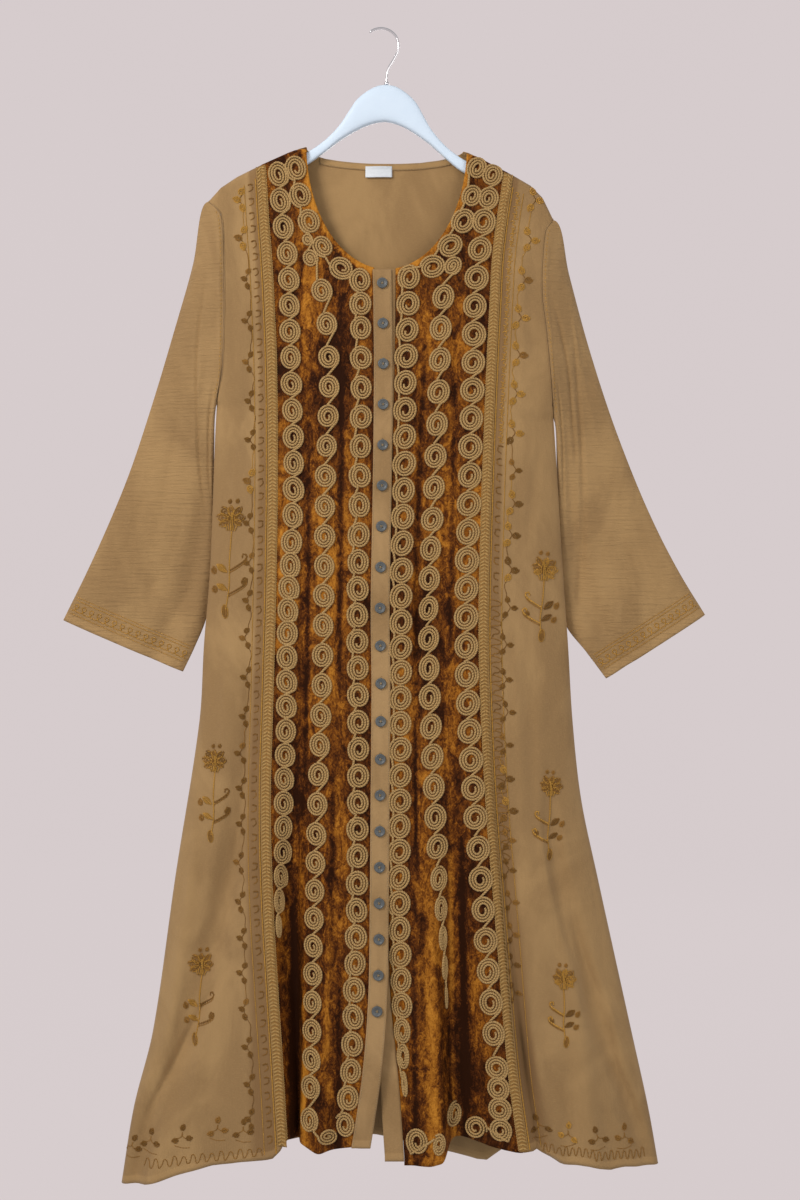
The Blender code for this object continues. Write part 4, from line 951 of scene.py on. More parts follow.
def velvet_shell(side):
    lines = [front_line("braid_" + LETTER[side], -side * BRAID_SEAM)]
    for k in range(1, 9):
        lines.append(lambda drop, k=k: front_creases(side, drop)[k if side < 0 else 8 - k][0])
    lines.append(front_line("band", BAND_LAP) if side < 0 else front_line("under", SEAM))
    made = []
    for path in lines:
        hem = hem_drop(path, FRONT_HEM)

        def drops(top, hem=hem):
            return np.concatenate([np.linspace(top, 240, 15)[1:], np.linspace(240, 1400, 235)[1:],
                                   np.linspace(1400, hem, 12)[1:]])

        made.append(line_points(path, drops, -1, lambda x, drop: velvet_y(x, drop, side), SEAM))
    made = np.array(made)
    columns = []
    for first, second in zip(made, made[1:]):
        gap = np.linalg.norm(second - first, axis=1)
        count = max(int(math.ceil(np.percentile(gap, 85) / VELVET_COLUMN)), 1)
        for k in range(count):
            columns.append(first + (second - first) * (k / count))
    columns.append(made[-1])
    grid = np.array(columns).transpose(1, 0, 2)
    soften(grid[len(ROWS_AT_RIDGE):].swapaxes(0, 1), 5)
    x, y, drop = np.moveaxis(grid, -1, 0)
    fade = smoothstep(0, 30, drop - shoulder(x)) * smoothstep(0, 8, np.abs(x - grid[:, :1, 0]))
    fade = fade * smoothstep(0, 8, np.abs(x - grid[:, -1:, 0]))
    grid[..., 1] = y + fade * (crease_offset(VELVET_CREASES[side], x, drop)
                               + crinkle(x, y, drop, (0.045, 0.045, 0.016), 1.3)
                               + crinkle(x, y, drop, (0.13, 0.13, 0.05), 0.35))
    beside_neck = neck_inside(x, drop, NECK_FRONT_DEPTH, NECK_EDGE)
    # Painted shade and highlights along the folds, partly crushed pile, and a lighter edge round the neck
    nap = crease_offset(VELVET_NAP_AND_FOLD_SHADING[side], x, drop, 1.0) + 0.9 * beside_neck
    shell = Shell(grid, flip=side < 0, nap=nap)
    shell.cut_neck(NECK_FRONT_DEPTH)
    return shell


def edge_inset(side, drop):
    """How far in the last column before the edge lies: at the edge itself where the side is a fold."""
    return 0.9 * (1 - smoothstep(-25, 4.0, drop - UNDERARM[side]))


def panel_rows(side, top, hem):
    """Rows down the edge as shares, closer at the armhole."""
    arm = UNDERARM[side]
    rows = np.concatenate([np.linspace(top, arm, 52)[1:], [arm + 2.0, arm + 4.0],
                           np.linspace(arm + 4, hem, 190)[1:]])
    return (rows - top) / (hem - top)


def side_shell(side):
    braid_seam = front_line("braid_" + LETTER[side], side * BRAID_SEAM)

    def braid_out(drop):
        return front_creases(side, drop)[0 if side < 0 else -1][0]

    def edge(drop):
        return edge_x(side, drop)

    lines = [braid_seam, lambda drop: 0.5 * (braid_seam(drop) + braid_out(drop))]
    for u in np.linspace(0, 1, 40)[:-1]:
        share = 1 - (1 - u) ** 1.35
        lines.append(lambda drop, share=share: braid_out(drop) + share * (edge(drop) - braid_out(drop)))
    lines += [lambda drop: edge(drop) - side * edge_inset(side, drop), edge]
    shares = panel_rows(side, shoulder_tip(side) + RIDGE_ROUND, hem_drop(edge, FRONT_HEM))
    least = [SEAM] * (len(lines) - 2) + [RIDGE, SEAM]
    made = []
    for path, gap in zip(lines, least):
        hem = hem_drop(path, FRONT_HEM)
        made.append(line_points(path, lambda top, hem=hem: top + shares * (hem - top), -1,
                                lambda x, drop: side_y(x, drop, side), gap))
    grid = np.array(made).transpose(1, 0, 2)
    x, y, drop = np.moveaxis(grid, -1, 0)
    inward = smoothstep(0, 12, np.abs(edge(drop) - x)) * smoothstep(0, 14, np.abs(x - braid_out(drop)))
    inward = inward * smoothstep(0, 20, drop - shoulder(x))
    grid[..., 1] = y + inward * (crinkle(x, y, drop, (0.03, 0.03, 0.012), 1.2)
                                 + crinkle(x, y, drop, (0.11, 0.11, 0.06), 0.3))
    return Shell(grid, flip=side > 0)


def back_shell():
    def left_edge(drop):
        return edge_x(-1, drop)

    def right_edge(drop):
        return edge_x(1, drop)

    u = np.linspace(0, 1, 64)
    across = 0.6 * u + 0.4 * (0.5 - 0.5 * np.cos(math.pi * u))
    inner = list(across[1:-1])
    lines = [left_edge, lambda drop: left_edge(drop) + edge_inset(-1, drop)]
    for share in inner:
        lines.append(lambda drop, share=share:
                     left_edge(drop) + share * (right_edge(drop) - left_edge(drop)))
    lines += [lambda drop: right_edge(drop) - edge_inset(1, drop), right_edge]
    places = [0.0, 0.0, *inner, 1.0, 1.0]
    left = panel_rows(-1, shoulder_tip(-1) + RIDGE_ROUND, hem_drop(left_edge, BACK_HEM))
    right = panel_rows(1, shoulder_tip(1) + RIDGE_ROUND, hem_drop(right_edge, BACK_HEM))
    least = [SEAM, RIDGE] + [SEAM] * len(inner) + [RIDGE, SEAM]
    made = []
    for line, place, gap in zip(lines, places, least):
        hem = hem_drop(line, BACK_HEM)
        shares = left + place * (right - left)

        def drops(top, hem=hem, shares=shares):
            return top + shares * (hem - top)

        made.append(line_points(line, drops, 1, back_y, gap))
    grid = np.array(made).transpose(1, 0, 2)
    x, y, drop = np.moveaxis(grid, -1, 0)
    inward = smoothstep(0, 14, np.minimum(x - left_edge(drop), right_edge(drop) - x))
    inward = inward * smoothstep(0, 20, drop - shoulder(x))
    grid[..., 1] = y + inward * (crinkle(x, y, drop, (0.026, 0.026, 0.011), 1.6)
                                 + crinkle(x, y, drop, (0.1, 0.1, 0.05), 0.3))
    shell = Shell(grid, flip=False)
    shell.cut_neck(NECK_BACK_DEPTH)
    return shell


def sleeve_shell(side):
    """A flat wide tube of rings from the armhole to the open cuff, with soft folds."""
    rows = SLEEVES[side]
    tip = shoulder_tip(side)
    arm_top = tip + RIDGE_ROUND
    known = [tip, tip + 1.0, tip + 3.5, tip + 9.0]
    known += [arm_top + share * (UNDERARM[side] - arm_top) for share in ARM_SHARES]
    u = np.linspace(0, 1, 46)
    shares = 0.35 * u + 0.65 * (0.5 - 0.5 * np.cos(math.pi * u))
    drops = np.interp(shares, SLEEVE_SHARES, known)
    thick = arm_half_thick(side, drops)
    x = edge_x(side, drops) + side * 2 * SEAM
    first = np.concatenate([np.stack([x, -thick, drops], 1), np.stack([x, thick, drops], 1)[::-1]])
    share = (first[:, 2] - tip) / (UNDERARM[side] - tip)
    low = smoothstep(0.5, 1.0, share)
    high = 1 - smoothstep(0.0, 0.1, share)
    step = first + np.stack([side * (3.0 - 2.0 * low), 0 * low, 1.5 * high + 3.0 * low], 1)
    rings = [first, step]
    for row in rows[1:]:
        x = row.out_x + (row.in_x - row.out_x) * shares
        drop = row.out_drop + (row.in_drop - row.out_drop) * shares
        thick = np.maximum(row.half * np.sqrt(1 - np.abs(2 * shares - 1) ** 3), RIDGE)
        rings.append(np.concatenate([np.stack([x, row.middle - thick, drop], 1),
                                     np.stack([x, row.middle + thick, drop], 1)[::-1]]))
    rings = np.array(rings)
    keys = np.array([0.0, 0.012] + [number / (len(rows) - 1) for number in range(1, len(rows))])
    places = np.concatenate([[0.0, 0.006, 0.012], np.linspace(0.012, 1.0, 112)[1:]])
    grid = np.zeros((len(places), rings.shape[1], 3))
    slopes = np.gradient(rings, keys, axis=0)
    for r, at in enumerate(places):
        i = min(max(int(np.searchsorted(keys, at, side="right")) - 1, 0), len(keys) - 2)
        width = keys[i + 1] - keys[i]
        t = (at - keys[i]) / width
        h1, h2 = 2 * t ** 3 - 3 * t ** 2 + 1, t ** 3 - 2 * t ** 2 + t
        h3, h4 = 3 * t ** 2 - 2 * t ** 3, t ** 3 - t ** 2
        if i == 0:
            grid[r] = rings[0] + (rings[1] - rings[0]) * t
        else:
            grid[r] = h1 * rings[i] + h2 * width * slopes[i] + h3 * rings[i + 1] + h4 * width * slopes[i + 1]
    down = places[:, None] + np.zeros((1, rings.shape[1]))
    both = np.concatenate([shares, shares[::-1]])[None] + np.zeros((len(places), 1))
    front = np.zeros_like(both)
    front[:, :len(shares)] = 1.0
    dent = np.zeros_like(both)
    for fold in SLEEVE_FOLDS[side]:
        place = fold.place_top + (fold.place_cuff - fold.place_top) * down
        dent += front * fold.depth * smoothstep(fold.start, 0.6, down) * bump(both - place, fold.half_width)
    for one in SLEEVE_CREASES[side]:
        t = (down - one.down_1) / (one.down_2 - one.down_1)
        place = one.across_1 + (one.across_2 - one.across_1) * t
        size = one.depth * smoothstep(0, 0.3, t) * (1 - smoothstep(0.75, 1.0, t))
        dent += front * size * bump(both - place, one.half_width)
        dent += (1 - front) * 0.8 * size * bump(1 - both - place, one.half_width * 1.2)
    dent -= 1.3 * bump(down * SLEEVE_LONG - 12, 9) * smoothstep(0.05, 0.2, both)
    inward = smoothstep(0, 0.06, both) * smoothstep(0, 0.06, 1 - both) * smoothstep(0.0, 0.008, down)
    x, y, drop = np.moveaxis(grid, -1, 0)
    tilted = drop + x * 0.5 * side
    waves = crinkle(x, y, tilted, (0.028, 0.05, 0.014), 1.1) + crinkle(x, y, tilted, (0.1, 0.1, 0.05), 0.32)
    grid[..., 1] = y + inward * (dent * np.where(front > 0, 1.0, -1.0) + waves)
    pucker = 0.35 * np.sin(drop * 0.9) * (1 - smoothstep(0.0, 0.035, down)) * smoothstep(0.002, 0.01, down)
    grid[..., 0] = x + side * pucker * smoothstep(0.02, 0.1, both)
    return Shell(grid, flip=side < 0, closed=True)


CORD_HALF = 1.5
CORD_HIGH = 1.55
COIL_TURNS = 2.85
COIL_PITCH = 3.6
COIL_STEPS = 18
CoilSize = namedtuple("CoilSize", "wide tall")
COIL_SIZES = {
    "outer_l": CoilSize(12.5, 15.4), "middle_l": CoilSize(12.4, 14.6), "inner_l": CoilSize(13.3, 16.0),
    "inner_r": CoilSize(14.0, 16.6), "middle_r": CoilSize(13.1, 16.0), "outer_r": CoilSize(14.5, 16.2)}
COIL_LEAN = {-1: -5.0, 1: 13.0}
# The angles on a coil between which the cord lies that runs on to the next one
INNER_LINK = (215.0, 118.0)
PLAIN_LINK = (-95.0, 52.0)


def row_coils(row, side):
    """The coils of one row, from the shoulder down. The inner rows start with those round the neck."""
    small = SMALL_COILS.get(row, {})
    folded = FOLDED_COILS.get(row, {})
    result = []
    if row.startswith("inner"):
        wide = NECK_HALF_WIDTH * NECK_ARC_SCALE
        deep = NECK_FRONT_DEPTH * NECK_ARC_SCALE
        for angle in NECK_ARC_ANGLES[side]:
            turn = math.radians(angle)
            x = NECK_X + side * wide * math.cos(turn)
            drop = NECK_DROP + deep * math.sin(turn)
            way = Vector((-side * wide * math.sin(turn), deep * math.cos(turn))).normalized()
            result.append(Coil(x, drop, way, 1.0, small.get(len(result), 1.0)))
    places = COIL_PLACES[row]
    for number in range(places[-1].number + 1):
        drop = float(straight(places, "drop", number, "number"))
        ahead = float(curve(LINES, row, drop + 8) - curve(LINES, row, drop - 8))
        left, right = strip_edges(row, drop)
        fold = Folded(*folded.get(len(result), (0, 0, 1.0)))
        turned = min(float(0.5 * (right[0] - left[0]) / COIL_STRIP) * fold.turned, 1.0)
        if len(result) in HIDDEN_COILS.get(row, ()):
            turned = 0.0
        result.append(Coil(line_x(row, drop) + fold.x, drop + fold.drop, Vector((ahead, 16.0)).normalized(),
                           turned, small.get(len(result), 1.0)))
    if row in STRAY_COILS:
        result.append(STRAY_COILS[row])
    return result


def place_on(coil, u, v):
    """A point of a coil's own plane, u across and v along its row, as x and drop."""
    x, drop, way, turned, size = coil
    return x + size * (u * way[1] * turned + v * way[0]), drop + size * (-u * way[0] + v * way[1])


def coil_row(row, shells, material):
    """One chain of flat coils of twisted cord with the link of cord that runs from each to the next."""
    side = -1 if row.endswith("_l") else 1
    coils = row_coils(row, side)
    strands = Strands(*shells)
    inner_row = row.startswith("inner")
    hug = INNER_LINK if inner_row else PLAIN_LINK
    for k, coil in enumerate(coils):
        if not coil.turned:
            continue
        turns = COIL_TURNS if coil.size > 0.65 else 2.0
        lean = math.radians(COIL_LEAN[side] + 7 * math.sin(4.7 * k + side))
        jitter = 0.5 * math.sin(7.3 * k + 2.0 * side)
        wide = COIL_SIZES[row].wide + 0.35 * math.sin(3.3 * k)
        tall = COIL_SIZES[row].tall + 0.45 * math.sin(5.9 * k + 1)
        if row == "outer_r":
            tall -= 2.2 * smoothstep(1270, 1330, coil.drop)

        def oval(degrees, inward, coil=coil, lean=lean, wide=wide, tall=tall, jitter=jitter):
            turn = math.radians(degrees)
            u = max(wide - inward, 0.9) * math.cos(turn)
            v = max(tall - inward, 1.6) * math.sin(turn)
            return place_on(coil, u * math.cos(lean) - v * math.sin(lean) + 0.5 * jitter,
                            u * math.sin(lean) + v * math.cos(lean) + jitter)

        count = int(COIL_STEPS * turns)
        path = []
        for j in range(count + 1):
            left = (1 - j / count) * turns
            inward = left * COIL_PITCH / coil.size + 4.5 * max(left - 2.4, 0.0) ** 2
            path.append(oval(hug[0] - 360 * left * (1 if hug[1] > hug[0] else -1), inward))
        lay_cord(strands, path, coil)
        if k + 1 < len(coils) and coils[k + 1].turned:
            link = [oval(degrees, -0.3) for degrees in np.linspace(hug[0], hug[1], 9)]
            end = math.radians(hug[0])
            reach = 0.8 if inner_row else 2.0
            link.append(place_on(coils[k + 1], wide * math.cos(end) * reach, tall * math.sin(end)))
            lay_cord(strands, along(link, 1.6), coil, raised=0.15)
    name = f"coils_{'left' if side < 0 else 'right'}_{row.split('_')[0]}"
    return keep(strands.make(name + "_cord", material), "cord", name)


def lay_cord(strands, path, coil, raised=0.0):
    """Lays a thick cord on the cloth, upright on the plane of its coil."""
    corners = [hit(strands.shells, *place_on(coil, u, v)) for u, v in ((-9, 0), (9, 0), (0, -11), (0, 11))]
    if all(c is not None for c in corners):
        plane = np.cross(corners[1][0] - corners[0][0], corners[3][0] - corners[2][0])
        plane /= np.linalg.norm(plane)
        if plane[1] > 0:
            plane = -plane
    else:
        plane = np.array((0.0, -1.0, 0.0))
    found = [hit(strands.shells, x, drop) for x, drop in path]
    places = np.array([one[0] for one in found if one is not None])
    if len(places) < 3:
        return
    soften(places[:, 1], 2)
    strands.tube(places, [plane] * len(places), CORD_HALF, CORD_HIGH, 6, lift=0.9 + raised)


def colour(name, label, default):
    return FloatVectorProperty(name=name, description=label, subtype="COLOR", size=3, min=0.0, max=1.0,
                               default=default)


def number(name, label, default, unit="LENGTH"):
    return FloatProperty(name=name, description=label, default=default, unit=unit)


class KaftanCloth(bpy.types.PropertyGroup):
    rayon_thick: number("Rayon", "Thickness of the rayon", 0.0008)
    velvet_thick: number("Velvet", "Thickness of the velvet", 0.0013)
    rayon: colour("Rayon colour", "Colour of the washed rayon", (0.40, 0.236, 0.093))
    rayon_shade: colour("Rayon shade", "Colour of its darker patches", (0.305, 0.174, 0.066))
    band: colour("Band colour", "Colour of the placket", (0.43, 0.255, 0.105))
    label: colour("Label colour", "Colour of the blank label", (0.74, 0.75, 0.77))


class KaftanThread(bpy.types.PropertyGroup):
    cord: colour("Cord", "Colour of the coiled cord", (0.56, 0.35, 0.135))
    cord_shade: colour("Cord shade", "Colour between the strands of the cord", (0.26, 0.14, 0.042))
    gold: colour("Gold thread", "Colour of the gold embroidery", (0.68, 0.37, 0.065))
    gold_shade: colour("Gold shade", "Darker gold between its stitches", (0.36, 0.17, 0.03))
    braid: colour("Braid ground", "Colour of the ground of the braid", (0.38, 0.215, 0.065))
    weave: colour("Braid weave", "Colour of the thread of the braid", (0.60, 0.375, 0.13))
    amber: colour("Amber thread", "Colour of the middle tone of the embroidery", (0.47, 0.23, 0.045))
    bronze: colour("Bronze thread", "Colour of the dark embroidery", (0.30, 0.14, 0.022))
    bronze_shade: colour("Bronze shade", "Darker bronze between its stitches", (0.12, 0.052, 0.009))
    stitch: number("Stitch", "Length of one sewing stitch", 0.0026)


class KaftanStage(bpy.types.PropertyGroup):
    backdrop: colour("Backdrop", "Colour of the floor and the backdrop", (0.668, 0.598, 0.605))
    floor: number("Floor", "Height of the floor under the hook", -1.62)
    distance: number("Distance", "Distance of the camera", 2.0)
    key: number("Key light", "Power of the main soft light", 57.0, "POWER")
    fill: number("Fill light", "Power of the second soft light", 22.0, "POWER")


def paint(name):
    """Each material, made once from the colours in the panel."""
    if name not in PAINTS:
        c, t = bpy.context.scene.kaftan_cloth, bpy.context.scene.kaftan_thread
        maker, *given = {
            "rayon": (rayon_paint, "rayon", c.rayon, c.rayon_shade),
            "side": (rayon_paint, "side_rayon", c.rayon, c.rayon_shade, 0.55),
            "sleeve_left": (rayon_paint, "left_sleeve_rayon", c.rayon, c.rayon_shade, 0.0, -0.7),
            "sleeve_right": (rayon_paint, "right_sleeve_rayon", c.rayon, c.rayon_shade, 0.0, 0.7),
            "band": (rayon_paint, "placket_rayon", c.band, c.rayon_shade),
            "velvet": (velvet_paint, "crushed_velvet"),
            "cord": (thread_paint, "twisted_cord", t.cord, t.cord_shade, 3.4, 0.85),
            "gold": (thread_paint, "gold_thread", t.gold, t.gold_shade, 1.3, 0.5, 0.35),
            "amber": (thread_paint, "amber_thread", t.amber, t.bronze_shade, 1.3, 0.55, 0.3),
            "bronze": (thread_paint, "bronze_thread", t.bronze, t.bronze_shade, 1.3, 0.6, 0.15),
            "weave": (thread_paint, "braid_weave", t.weave, t.braid, 2.1, 0.6, 0.2),
            "braid_base": (thread_paint, "braid_ground", t.braid, t.gold_shade, 1.6, 0.7, 0.1),
            "sewing": (thread_paint, "sewing_thread", (0.50, 0.36, 0.20), (0.33, 0.22, 0.11), 0.9, 0.8),
            "button": (plain_paint, "slate_button", (0.125, 0.135, 0.135), (0.05, 0.055, 0.055), 0.42, 0.0,
                       0.08),
            "label": (rayon_paint, "label_satin", c.label, (0.60, 0.62, 0.65)),
            "wood": (plain_paint, "painted_wood", (0.76, 0.86, 0.97), (0.68, 0.79, 0.92), 0.36, 0.0, 0.25),
            "chrome": (plain_paint, "chrome", (0.78, 0.79, 0.80), (0.6, 0.61, 0.63), 0.12, 1.0),
        }[name]
        PAINTS[name] = maker(*given)
    return PAINTS[name]


class KAFTAN_OT_stage(bpy.types.Operator):
    """Add the floor, the backdrop, the lights and the camera"""
    bl_idname = "kaftan.stage"
    bl_label = "Stage"

    def execute(self, context):
        settings = context.scene.kaftan_stage
        flat, bend, wall, sides = 3.6, 1.4, 4.5, 96
        rings = [(0.0, settings.floor), (2.0, settings.floor), (flat, settings.floor)]
        for degrees in range(10, 91, 10):
            turn = math.radians(degrees)
            rings.append((flat + bend * math.sin(turn), settings.floor + bend * (1 - math.cos(turn))))
        rings.append((flat + bend, wall))
        points = []
        for r, height in rings:
            for s in range(sides):
                turn = 2 * math.pi * s / sides
                points.append((max(r, 0.01) * math.cos(turn), max(r, 0.01) * math.sin(turn), height))
        faces = [*ring_faces(len(rings), sides), tuple(range(sides))]
        backdrop = Paint("backdrop", Specular_IOR_Level=0.0, Emission_Strength=1.0)
        shade = backdrop.noise(backdrop.place(), 0.0006, 2)
        tint = tuple(settings.backdrop)
        tone = backdrop.mix(shade, tuple(0.985 * c for c in tint), tint)
        dark = backdrop.mix(shade, (0.015, 0.015, 0.015), (0.02, 0.02, 0.02))
        backdrop.finish(Base_Color=dark, Roughness=0.9 + shade * 0.05, Emission_Color=tone)
        floor = to_object("backdrop", points, faces, backdrop.material)
        clean_normals(floor)
        floor.visible_diffuse = False

        world = bpy.data.worlds.new("studio")
        context.scene.world = world
        world.use_nodes = True
        sky = world.node_tree.nodes["Background"]
        sky.inputs["Color"].default_value = (0.95, 0.97, 1.0, 1.0)
        sky.inputs["Strength"].default_value = 0.42
        self.lamp(context, "key", (-1.9, -2.0, 0.8), settings.key, 1.0)
        self.lamp(context, "fill", (1.9, -2.5, -0.3), settings.fill, 1.8)
        self.lamp(context, "back", (0.6, 2.6, 0.2), settings.fill, 2.0)

        # The camera faces the garment squarely. Its height puts hanger and hem where the picture has them
        data = bpy.data.cameras.new("camera")
        data.sensor_width = 36.0
        data.lens = 46.14
        camera = bpy.data.objects.new("camera", data)
        camera.location = (0.0247, -settings.distance, -0.74165)
        camera.rotation_euler = (math.radians(90), 0.0, 0.0)
        context.scene.collection.objects.link(camera)
        context.scene.camera = camera
        context.scene.view_settings.view_transform = "Standard"
        return {"FINISHED"}

    def lamp(self, context, name, place, power, size):
        data = bpy.data.lights.new(name, "AREA")
        data.energy = power
        data.size = size
        data.color = (1.0, 0.985, 0.96)
        lamp = bpy.data.objects.new(name, data)
        lamp.location = place
        aim = Vector((0.0, 0.0, -0.75)) - Vector(place)
        lamp.rotation_euler = aim.to_track_quat("-Z", "Y").to_euler()
        context.scene.collection.objects.link(lamp)


class KAFTAN_OT_panels(bpy.types.Operator):
    """Add the velvet panels, the side panels and the back"""
    bl_idname = "kaftan.panels"
    bl_label = "Panels"

    def execute(self, context):
        settings = context.scene.kaftan_cloth
        rayon, velvet = settings.rayon_thick / MM, settings.velvet_thick / MM
        for side, word in SIDES:
            panel = cloth_piece("front_velvet_" + word, velvet_shell(side), "velvet", velvet, "velvet")
            cloth_piece("front_side_" + word, side_shell(side), "side", rayon)
        back = cloth_piece("back", back_shell(), "rayon", rayon)
        return {"FINISHED"}


class KAFTAN_OT_sleeves(bpy.types.Operator):
    """Add the two sleeves"""
    bl_idname = "kaftan.sleeves"
    bl_label = "Sleeves"

    def execute(self, context):
        thick = context.scene.kaftan_cloth.rayon_thick / MM
        for side, word in SIDES:
            cloth_piece("sleeve_" + word, sleeve_shell(side), "sleeve_" + word, thick)
        return {"FINISHED"}


class KAFTAN_OT_coils(bpy.types.Operator):
    """Add the six rows of coiled cord"""
    bl_idname = "kaftan.coils"
    bl_label = "Coiled cord"

    def execute(self, context):
        velvets = [SHELLS["front_velvet_left"], SHELLS["front_velvet_right"]]
        for row in COIL_PLACES:
            coil_row(row, velvets, paint("cord"))
        return {"FINISHED"}


def button_middles():
    """Where each button and its buttonhole lie, as x and drop."""
    result = []
    for number in range(BUTTON_PLACES[-1].number + 1):
        drop = float(straight(BUTTON_PLACES, "drop", number, "number"))
        result.append((line_x("band", drop) + 0.5 * BAND_WIDTH, drop))
    return result


class KAFTAN_OT_placket(bpy.types.Operator):
    """Add the two bands of the placket, their stitching and the buttonholes"""
    bl_idname = "kaftan.placket"
    bl_label = "Placket"

    def execute(self, context):
        stitch = context.scene.kaftan_thread.stitch / MM
        hem = hem_drop(front_line("band", 12), FRONT_HEM)
        drops = np.linspace(NECK_DROP + NECK_FRONT_DEPTH + 0.6, hem, 330)
        edge = curve(LINES, "band", drops)
        base = front_y(edge, drops, -1) - 2 * SEAM - 0.25

        # The outer band: a folded strip whose edges turn back
        section = ((0.0, 0.0), (0.1, 0.9), (0.7, 1.55), (1.6, 1.7), (4.0, 1.45), (8.0, 1.6), (12.2, 1.75),
                   (16.5, 1.6), (20.5, 1.45), (22.9, 1.7), (23.8, 1.55), (24.4, 0.9), (24.5, 0.0))
        columns = []
        for across, rise in section:
            x = edge + across
            wave = crinkle(x, base, drops + 0.6 * x, (0.05, 0.05, 0.03), 0.35)
            wave = wave + crinkle(x, base, drops - 0.8 * x, (0.10, 0.02, 0.085), 0.32)
            wave = wave * smoothstep(0, 2, rise) * (1 + 1.5 * smoothstep(1250, 1400, drops))
            columns.append(np.stack([x, base - 0.02 * across - rise + wave, drops], axis=1))
        shell = Shell(np.array(columns).transpose(1, 0, 2), flip=True)
        outer = cloth_piece("placket_outer", shell, "band", 0.7)

        under_hem = hem_drop(front_line("under", -12), FRONT_HEM)
        drops_under = np.linspace(NECK_DROP + NECK_FRONT_DEPTH + 0.2, under_hem, 300)
        right = curve(LINES, "under", drops_under) - SEAM
        left = np.maximum(right - BAND_WIDTH, curve(LINES, "band", drops_under) + BAND_LAP + 2 * SEAM)
        columns = []
        for share in np.linspace(0, 1, 9):
            x = left + share * (right - left)
            columns.append(np.stack([x, front_y(x, drops_under, 1) + 0.2, drops_under], axis=1))
        under = Shell(np.array(columns).transpose(1, 0, 2), flip=True)
        band = cloth_piece("placket_under", under, "band", 1.2)

        strands = Strands(shell)
        for inset in (1.9, 22.6):
            start = drops[3]
            while start < hem - 4:
                at = np.array([start, start + 0.3 * stitch, start + 0.7 * stitch])
                strands.lay([(line_x("band", d) + inset, d) for d in at], 0.32, 0.25, 6, lift=0.02)
                start += stitch * 1.25
        hole_half, bars = 8.6, 15
        for x, drop in button_middles():
            for k in range(bars):
                d = drop - hole_half + k * (2 * hole_half / (bars - 1))
                strands.lay([(x - 1.1, d), (x - 0.35, d + 0.1)], 0.42, 0.4, 5, lift=0.1)
                strands.lay([(x + 0.35, d + 0.1), (x + 1.1, d)], 0.42, 0.4, 5, lift=0.1)
        keep(strands.make("placket_stitches", paint("sewing")), "rayon")
        return {"FINISHED"}


